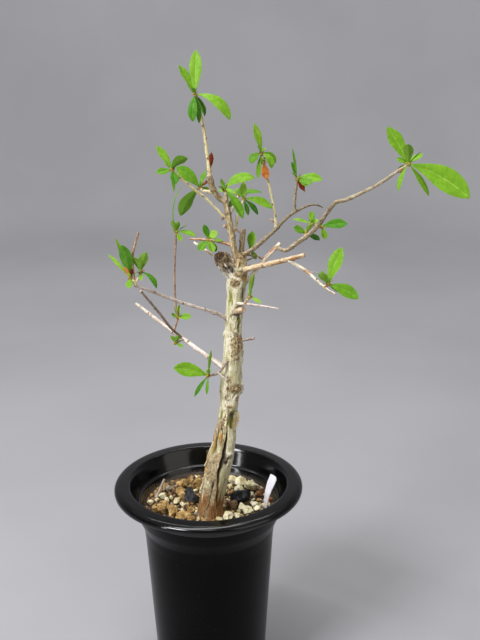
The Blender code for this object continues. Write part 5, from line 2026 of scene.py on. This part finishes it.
BOUGH_LIMBS = (
    Limb(
        "leader",
        (24, -3, 359),
        2.7,
        (Run(12, 157, 78, 2.5), Run(15, 141, 78, 2.5), Run(13, 126, 74, 2.3), Run(6, 142, 73, 2.2)),
        Bark.GREY,
    ),
    Limb("pruned_knob", (20, -2, 354), 6.3, (Run(11, -132, 41, 6.1), Run(6, -137, 43, 5.4)), Bark.ROTTEN, End.DEAD, 0.0),
    Limb(
        "leader_left_stub",
        (16, 4, 403),
        2.1,
        (Run(6, 180, 31, 2.2), Run(10, -156, 60, 2.3), Run(8, -133, 72, 2.2)),
        Bark.GREY,
    ),
    Limb("leader_right_stub", (16, 5, 403), 1.7, (Run(6, 69, 66, 1.5),), Bark.GREY),
    Limb(
        "low_left_pale_bough",
        (15, -7, 277),
        2.2,
        (Run(25, 147, 23, 1.9), Run(28, 144, 22, 1.7), Run(26, 145, 24, 1.4), Run(16, 148, 26, 1.2)),
        Bark.ROSE,
        knots=9.0,
    ),
    Limb(
        "low_left_brown_bough",
        (-20, 16, 295),
        1.1,
        (Run(17, -127, 43, 1.1), Run(15, -134, 53, 1.05), Run(27, -141, 52, 0.9)),
        Bark.BROWN,
    ),
    Limb(
        "upper_left_bough",
        (18, -6, 316),
        1.6,
        (Run(15, -142, 30, 1.4), Run(32, -152, 24, 1.25), Run(27, -147, 27, 1.1), Run(11, -148, 25, 1.0)),
        Bark.ROSE,
        knots=9.0,
    ),
    Limb("bare_left_twig", (13, 1, 359), 1.1, (Run(17, 148, 25, 1.0), Run(10, 156, 28, 0.9)), Bark.CREAM),
    Limb("upright_stub", (27, 5, 362), 2.1, (Run(20, 47, 82, 2.0),), Bark.GREY),
    Limb(
        "upper_right_bough",
        (26, -2, 363),
        1.9,
        (
            Run(12, 39, 16, 1.8),
            Run(27, 49, 21, 1.6),
            Run(23, 51, 24, 1.4),
            Run(20, 38, 16, 1.0),
            Run(8, 33, -1, 0.75),
            Run(7, 31, -21, 0.6),
        ),
        Bark.PLUM,
        knots=12.0,
        bleached=0.93,
    ),
    Limb("pale_cut_bough", (26, 1, 338), 1.8, (Run(14.5, 37, 36, 1.7), Run(12, 31, 45, 1.6), Run(20, 18, 43, 1.6)), Bark.CREAM),
    Limb(
        "tan_cut_bough",
        (26, -4, 353),
        2.3,
        (Run(13, -24, 17, 2.1), Run(19, -21, 17, 1.9), Run(20, -20, 18, 1.7)),
        Bark.TAN,
    ),
    Limb(
        "long_right_bough",
        (54, 15, 366),
        1.3,
        (
            Run(7.6, -32, -11, 1.5),
            Run(8, -43, 31, 1.75),
            Run(24.7, -38, 38, 1.65),
            Run(28, -47, 49, 1.45),
            Run(11, -44, 20, 1.4),
            Run(25.4, -42, 27, 1.25),
            Run(22.6, -41, 34, 1.1),
        ),
        Bark.PLUM,
        knots=10.0,
        bleached=0.62,
    ),
    Limb("dead_right_stub", (23, -7, 299), 1.2, (Run(15, -20, 16, 1.0),), Bark.BROWN),
)

SPURS = (
    Limb("cut_disc", (22, -7, 322.8), 2.6, (Run(10, -46, 18, 2.2),), Bark.TAN, End.CUT, 0.0),
    Limb("leader_spur", (18, 1, 384), 1.3, (Run(4, -150, 30, 1.1),), Bark.GREY, End.CUT, 0.0),
    Limb("thorn_on_the_wand", (52, 21, 384.5), 0.8, (Run(4.5, 175, 35, 0.35),), Bark.TAN, End.TIP, 0.0),
    Limb("pink_twig", (23, -1, 384), 0.7, (Run(4.5, 10, -45, 0.45),), Bark.RUSSET, End.TIP, 0.0),
    Limb("pale_link", (44.5, 13, 357), 0.9, (Run(5, 175, 30, 0.8), Run(6, 180, 45, 0.6)), Bark.CREAM, End.TIP, 5.0),
    Limb("grey_thorn", (30, 3, 358.5), 0.7, (Run(9, 30, 12, 0.4),), Bark.GREY, End.TIP, 4.0),
    Limb("crossed_twig", (31, 4, 363), 0.75, (Run(11, 22, -12, 0.4),), Bark.GREY, End.TIP, 4.0),
    Limb("trunk_left_thorn", (9, -22.5, 280), 0.8, (Run(9, -8, -38, 0.4),), Bark.ROSE, End.TIP, 0.0),
    Limb("bead_on_the_shoot", (13.9, -1.9, 392.8), 0.9, (Run(1.0, -150, -78, 1.25), Run(0.9, -150, -78, 0.9)), Bark.BROWN, End.TIP, 0.0),
    Limb("brown_thorn", (74, -21.8, 356.6), 0.55, (Run(8, -25, -3, 0.3),), Bark.BROWN, End.TIP, 0.0),
)

MASSES = (
    Mass("top_foliage", (
        Twig((5, 0, 422), 1.3, (Run(28, -125, 80, 1.2), Run(17, -123, 74, 1), Run(14, -148, 73, 0.8)), (
            Rosette(0.06, (
                Leaf(14, 4, -45, 74, -10, -30, Tone.RUST),
            )),
            Rosette(1, (
                Leaf(31, 9, 85, 80, 15, 0, Tone.FRESH), Leaf(23, 7, 165, 70, 20, -30, Tone.FRESH), Leaf(32, 9, -10, 5, 80, 45, Tone.FRESH),
                # the hanging leaves take the deep tone, partly as painted shade
                Leaf(20, 7, -105, -35, 70, 0, Tone.DEEP), Leaf(20, 4.5, -60, -55, 40, 0, Tone.DEEP), Leaf(18, 4.5, 45, -35, 50, -15, Tone.DEEP),
                Leaf(16, 4, 85, -35, 40),
            ), 2),
        )),
    )),
    Mass("leader_tip_foliage", (
        Twig((17, 7, 407), 1.3, (Run(4, 180, 65, 1.1),), (
            Rosette(1, (
                Leaf(26, 9, 10, 60, 80, 45), Leaf(9, 3.5, 130, 70, 10), Leaf(26, 8, -35, -25, 50, 20),
                Leaf(20, 4.5, -12, -30, 50, 20),
            ), 2),
        )),
    )),
    Mass("leader_right_foliage", (
        Twig((20, 0, 382), 1.2, (Run(5, 54, 2, 1.2), Run(12, 67, 64, 1.1), Run(12, 49, 56, 0.9)), (
            Rosette(1, (
                Leaf(24, 8, 10, 5, 50, 45), Leaf(16, 5, -20, -25, 40, 30), Leaf(13, 4, -60, -45, 30),
                Leaf(10, 5, 140, 65, 60, -30), Leaf(13, 5, 95, 85, 30),
            ), 1),
        )),
    )),
    Mass("left_spur_foliage", (
        Twig((8, 3, 410), 1.3, (Run(8, 165, 5, 1.2), Run(4, 144, 28, 1)), (
            Rosette(1, (
                Leaf(23, 10, 170, 55, 30, -60), Leaf(26, 10.5, 175, -35, 40, 60, Tone.GRASS), Leaf(14, 4.5, 60, 65),
                Leaf(10, 4.5, 50, -5, 30, -45), Leaf(11, 3.4, -12, 48, 20, 30, Tone.RUST),
            ), 2),
        )),
    )),
    Mass("left_shoot_foliage", (
        Twig((18, 0, 389), 1, (Run(25, -153, 46, 1), Run(16, -151, 38, 0.9), Run(18, -154, 43, 0.8)), (
            Rosette(1, (
                Leaf(20, 6, 160, 65, 20, -40), Leaf(12, 5.5, -155, 5, 20, -50), Leaf(16, 8, -20, 75, 80, -50),
                Leaf(12, 6.5, -70, -30, 30), Leaf(16, 2.5, 80, -70),
            ), 2),
        )),
    )),
    Mass("left_wand_foliage", (
        Twig((-26, 21, 298), 0.9, (
            Run(11, 36, 68, 0.8), Run(8, 157, 81, 0.75), Run(25.6, 103, 85, 0.7), Run(34, 45, 85, 0.65),
        ), (
            Rosette(0.15, (
                Leaf(7, 4.5, -140, 40, 20, -45), Leaf(10, 3, 75, 65, 0), Leaf(11, 6, -10, 15, 20, 45),
                Leaf(9, 2.5, 125, 65, 0),
            )),
            Rosette(1, (
                Leaf(36, 3, 175, 72, -50, 10), Leaf(12, 4.5, -115, 65, 10, 10), Leaf(9, 4, -25, 80, 10, -45),
                Leaf(16, 5, -10, 15, 50, 40), Leaf(9, 4, -50, -30, 30, 10),
            ), 2),
        ), Bark.RUSSET),
    )),
    Mass("far_left_foliage", (
        Twig((-46.5, -46, 353.4), 1.2, (Run(3.6, 180, 86, 1.1), Run(3, 180, 29, 1)), (
            Rosette(1, (
                Leaf(26, 9, -130, 85, 20, 40, Tone.DEEP), Leaf(30, 4.5, 160, 75, 10, -10), Leaf(9, 5, -95, -15, 40),
                Leaf(10, 3.4, -165, 70, 10, 45, Tone.ORANGE), Leaf(23, 3, 160, 50, 10, -30), Leaf(9, 3, -60, 70, 10, 0, Tone.RUST),
            ), 1),
        ), Bark.STRAW),
        Twig((-47, -46, 356), 0.9, (Run(19, 0, 90, 0.8), Run(15.5, 27, 73, 0.8)), bark=Bark.RUSSET),
        Twig((-46, -46, 355), 0.8, (Run(8.7, 40, 57, 0.7),), (
            Rosette(1, (
                Leaf(16, 6.5, -35, 80, 20, -45), Leaf(14, 6, -125, 75, 30, 20), Leaf(17, 4.5, -15, -5, 80, 30),
                Leaf(7, 3, -85, -30, 30),
            ), 1),
        ), Bark.STRAW),
    )),
    Mass("leader_left_foliage", (
        Twig((20, -1, 372), 1.3, (Run(15, 168, 10, 1.2), Run(16, 169, 2, 0.9)), (
            Rosette(0.55, (
                Leaf(12, 5.5, 155, 75, 10, -35), Leaf(9, 6.5, 10, 60, 30, 45), Leaf(12, 7, -140, -20, 30, -30),
                Leaf(11, 6, -65, -30, 30, 5), Leaf(11, 3, -20, 10, 20, 45), Leaf(11, 5, 25, -45, 30, -45),
            ), 1),
        ), Bark.RUSSET),
    )),
    Mass("right_wand_foliage", (
        Twig((54, 27, 379), 1.2, (Run(12, 124, 79, 1), Run(26.4, 149, 76, 0.9), Run(18, 156, 75, 0.8)), (
            Rosette(0.88, (
                Leaf(13, 6.6, -70, -58, 20, 0, Tone.ORANGE),
            )),
            Rosette(1, (
                Leaf(23, 7, 140, 80, 15, -15, Tone.SPRING), Leaf(12, 8, -160, 5, 90, -35), Leaf(19, 4, -125, -65, 20, -15),
                Leaf(16, 6, -35, 5, 110, 30), Leaf(15, 6, 15, 10, 90, 60), Leaf(7, 3, 60, 40, 10),
                Leaf(12, 3, 95, -45, 30),
            ), 1),
        )),
    )),
    Mass("right_spur_foliage", (
        Twig((69, 44, 388), 1.2, (Run(7, 90, 84, 1.1), Run(18, 50, 81, 1)), (
            Rosette(1, (
                Leaf(20, 8.5, -5, 20, 45, 45, Tone.FRESH), Leaf(13, 6.5, -30, 5, 40, 40), Leaf(14, 3.5, 135, 70, 10, -20),
                Leaf(24, 2.5, 115, 75, 10, 10), Leaf(12, 5, -45, -10, 30, 15), Leaf(11, 4.6, -35, -48, 10, 35, Tone.RUST),
                Leaf(12, 3.2, -20, -56, 0, 20, Tone.ORANGE),
            ), 1),
        ), Bark.PLUM),
    )),
    Mass("far_right_foliage", (
        Twig((131.5, -53, 432), 1.2, (Run(7.7, -31, 39, 1),), (
            Rosette(1, (
                Leaf(46, 17, -15, -10, 35, 60, Tone.FRESH), Leaf(28, 10.5, 160, 65, 15, -50, Tone.FRESH), Leaf(19, 7, -105, 70, 40),
                Leaf(9, 4, 165, 30, 10, -40), Leaf(19, 4, -165, -50, 40, -25), Leaf(25, 5, -15, -45, 20, 45),
                Leaf(12, 4.5, 120, -20, 30, 35), Leaf(14, 5, 35, 35, 20, 25),
            ), 1),
        ), Bark.TAN),
    )),
    Mass("right_front_foliage", (
        Twig((61, -18, 364), 1.4, (Run(14, -14, -29, 1.3), Run(19, -38, -30, 0.9), Run(10, -38, -23, 0.6)), bark=Bark.CREAM),
        Twig((86, -32, 348), 0.8, (Run(3, -24, 35, 0.8),), (
            Rosette(1, (
                Leaf(28, 11, 25, 75, 15, 30, Tone.FRESH), Leaf(24, 10, -15, -5, 35, 50), Leaf(13, 6.5, -145, 65, 30, 40),
                Leaf(13, 4, 25, -25, 20, -40),
            ), 1),
        ), Bark.CREAM),
    )),
    Mass("right_back_foliage", (
        Twig((73, 1, 375), 0.9, (Run(7, 69, 30, 0.8), Run(9, 45, 38, 0.8)), (
            Rosette(0.45, (
                Leaf(11, 7, -160, 35, 20, -50), Leaf(8, 4.5, -15, 70, 20, -50),
                Leaf(13, 5.5, 20, -20, 20, -50),
            )),
            Rosette(1, (
                Leaf(10, 5, 100, 75, 10), Leaf(15, 3, 170, 25, 20, -40), Leaf(6, 3.5, 25, 45, 20, 30),
            ), 1),
        ), Bark.TAN),
        Twig((80, 12, 384), 0.7, (Run(7, 0, -16, 0.7), Run(5, 12, -4, 0.6)), (
            Rosette(0.6, (
                Leaf(20, 8.5, 5, 20, 30, 50), Leaf(10, 5.5, -45, -50, 30, 20),
            )),
        ), Bark.STRAW),
    )),
    Mass("fork_foliage", (
        Twig((28, 3, 362), 0.9, (Run(10, 48, 15, 0.8),), (
            Rosette(1, (
                Leaf(15, 7, 75, 80, 15), Leaf(9, 4.5, 40, -45, 20, -55),
            ), 2),
        ), Bark.GREY),
    )),
    Mass("trunk_right_foliage", (
        Twig((21, -6, 329), 1.3, (Run(12, -42, 6, 1.1), Run(13, -14, -3, 0.8), Run(12, -14, -6, 0.5)), bark=Bark.ROSE),
        Twig((29, -14, 330), 0.8, (Run(7, 0, 54, 0.8),), (
            Rosette(1, (
                Leaf(18, 5, 0, 85, 10, -50), Leaf(10, 3, -20, -10, 30, 40),
            ), 1),
        ), Bark.TAN),
    )),
    Mass("trunk_left_foliage", (
        Twig((19, -12, 289), 1.1, (Run(16, -140, -39, 1), Run(8, -158, -10, 0.9)), (
            Rosette(1, (
                Leaf(27, 11, -170, 30, 25, -60, Tone.FRESH), Leaf(21, 3, -20, 85, 5, -30),
                Leaf(19, 3.5, -165, -45, 20, -45), Leaf(14, 2.5, -105, -60),
            ), 1),
        ), Bark.BROWN),
    )),
    Mass("low_left_foliage", (
        Twig((-18.5, 14, 294), 0.8, (Run(8, -143, -15, 0.7),), (
            Rosette(0.85, (
                Leaf(8, 3.5, -150, 70, 20, 45), Leaf(8, 4, -40, 75, 20, -30), Leaf(7, 3, -25, -10, 20, 45),
            )),
        ), Bark.BROWN),
    )),
    Mass("back_foliage", (
        Twig((18, 2, 392), 1.2, (Run(19, 77, 14, 1.1), Run(17, 79, 17, 0.9)), (
            Rosette(1, (
                Leaf(24, 8, 85, 25, 40), Leaf(20, 7, 20, 30, 50, 20), Leaf(19, 7, 150, 35, 50, -20),
                Leaf(15, 5, -60, 60, 40), Leaf(17, 6, 120, -20, 40),
            ), 1),
        ), Bark.ROSE),
    )),
)

STONES = (
    Stone(Grit.OCHRE, -20, -23, 15, 0.2),
    Stone(Grit.OCHRE, -28, -20, 11, 0.2),
    Stone(Grit.OCHRE, -13, -28, 9, 0.2),
    Stone(Grit.OCHRE, -37, -16, 10, 0.25),
    Stone(Grit.OCHRE, -43, -11, 7.5, 0.25),
    Stone(Grit.OCHRE, -34, -8, 8.5, 0.3),
    Stone(Grit.OCHRE, -23, 22, 11, 0.5),
    Stone(Grit.OCHRE, -23, 12, 9.5, 0.45),
    Stone(Grit.OCHRE, -11, 27, 10.5, 0.35),
    Stone(Grit.OCHRE, -4, 31, 7, 0.3),
    Stone(Grit.OCHRE, -17, 32, 7, 0.1),
    Stone(Grit.CHARCOAL, -14, 4, 14, 0.25),
    Stone(Grit.CHARCOAL, -17, 12, 8, 0.4),
    Stone(Grit.WOOD, -34, 19, 7),
    Stone(Grit.WOOD, -30, 22, 6.5),
    Stone(Grit.BROWN, -29, 15, 6.5, 0.4),
    Stone(Grit.PUMICE, -38, 7, 7.5, 0.4),
    Stone(Grit.PUMICE, -34, 2, 5.5, 0.4),
    Stone(Grit.PUMICE, -47, -3, 5.5, 0.4),
    Stone(Grit.PUMICE, -42, 0, 4.6, 0.4),
    Stone(Grit.PUMICE, -26, -2, 5.6, 0.5),
    Stone(Grit.PUMICE, -21, -6, 4.6, 0.5),
    Stone(Grit.PUMICE, -8, -29, 4.6, 0.5),
    Stone(Grit.OCHRE, -14, -14, 7.5),
    Stone(Grit.OCHRE, -3, -33, 6),
    Stone(Grit.PUMICE, 19, 34, 9.5, 0.45),
    Stone(Grit.PUMICE, 26, 26, 10.5, 0.45),
    Stone(Grit.PUMICE, 34, 21, 11.5, 0.5),
    Stone(Grit.PUMICE, 25, 14, 8.5, 0.45),
    Stone(Grit.PUMICE, 17, 21, 5, 0.5),
    Stone(Grit.CHARCOAL, 25, -1, 17, 0.42),
    Stone(Grit.CHARCOAL, 22, 8, 7, 0.3),
    Stone(Grit.RUST, 41, 9, 6.6, 0.4),
    Stone(Grit.BROWN, 43, 16, 6),
    Stone(Grit.BROWN, 19, -9, 9.5, 0.35),
    Stone(Grit.BROWN, 13, -3, 6),
    Stone(Grit.PUMICE, 17, 2, 5),
    Stone(Grit.PUMICE, 16, -26, 9.5, 0.35),
    Stone(Grit.PUMICE, 23, -24, 6, 0.35),
    Stone(Grit.PUMICE, 31, -18, 10.5, 0.35),
    Stone(Grit.PUMICE, 37, -6, 6, 0.4),
    Stone(Grit.PUMICE, 11, 12, 7, 0.4),
    Stone(Grit.PUMICE, 26, -11, 6.5, 0.4),
    Stone(Grit.PUMICE, 38, -14, 6, 0.4),
    Stone(Grit.PUMICE, 35, 10, 5.5, 0.4),
    Stone(Grit.PUMICE, 9, -31, 6, 0.3),
    Stone(Grit.WOOD, 42, -14, 4, 0.4),
    Stone(Grit.RUST, 49, 1, 4.6, 0.4),
    Stone(Grit.BROWN, 6, 32, 7),
    Stone(Grit.OCHRE, -38, 28, 6.5, 0.1),
    Stone(Grit.PUMICE, 6, 42, 5),
)

STICK = Limb("stick_in_the_soil", (-43.5, 8, 160), 1.3, (Run(8, 62, 35, 1.3), Run(9, 60, 42, 1.1)), Bark.BROWN, End.CUT, 0.0)


def main() -> None:
    """Builds the pot, the soil, the label, the trunk, the boughs and the foliage, then the studio."""
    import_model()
    pot = Pot()
    parts = (
        pot,
        Soil(pot, STONES),
        Label(),
        Trunk(TRUNK, TRUNK_MARKS, TRUNK_FLAKES, TRUNK_SPLIT),
        Boughs(BOUGH_LIMBS, (*SPURS, STICK)),
        Foliage(MASSES, (TRUNK, *BOUGH_LIMBS)),
    )
    for part in parts:
        for piece in part.build():
            LOG.info("%s: %d faces", piece.name, len(piece.data.polygons))
    Studio().build()


if __name__ == "__main__":
    logging.basicConfig(level=logging.INFO, format="%(message)s")
    main()
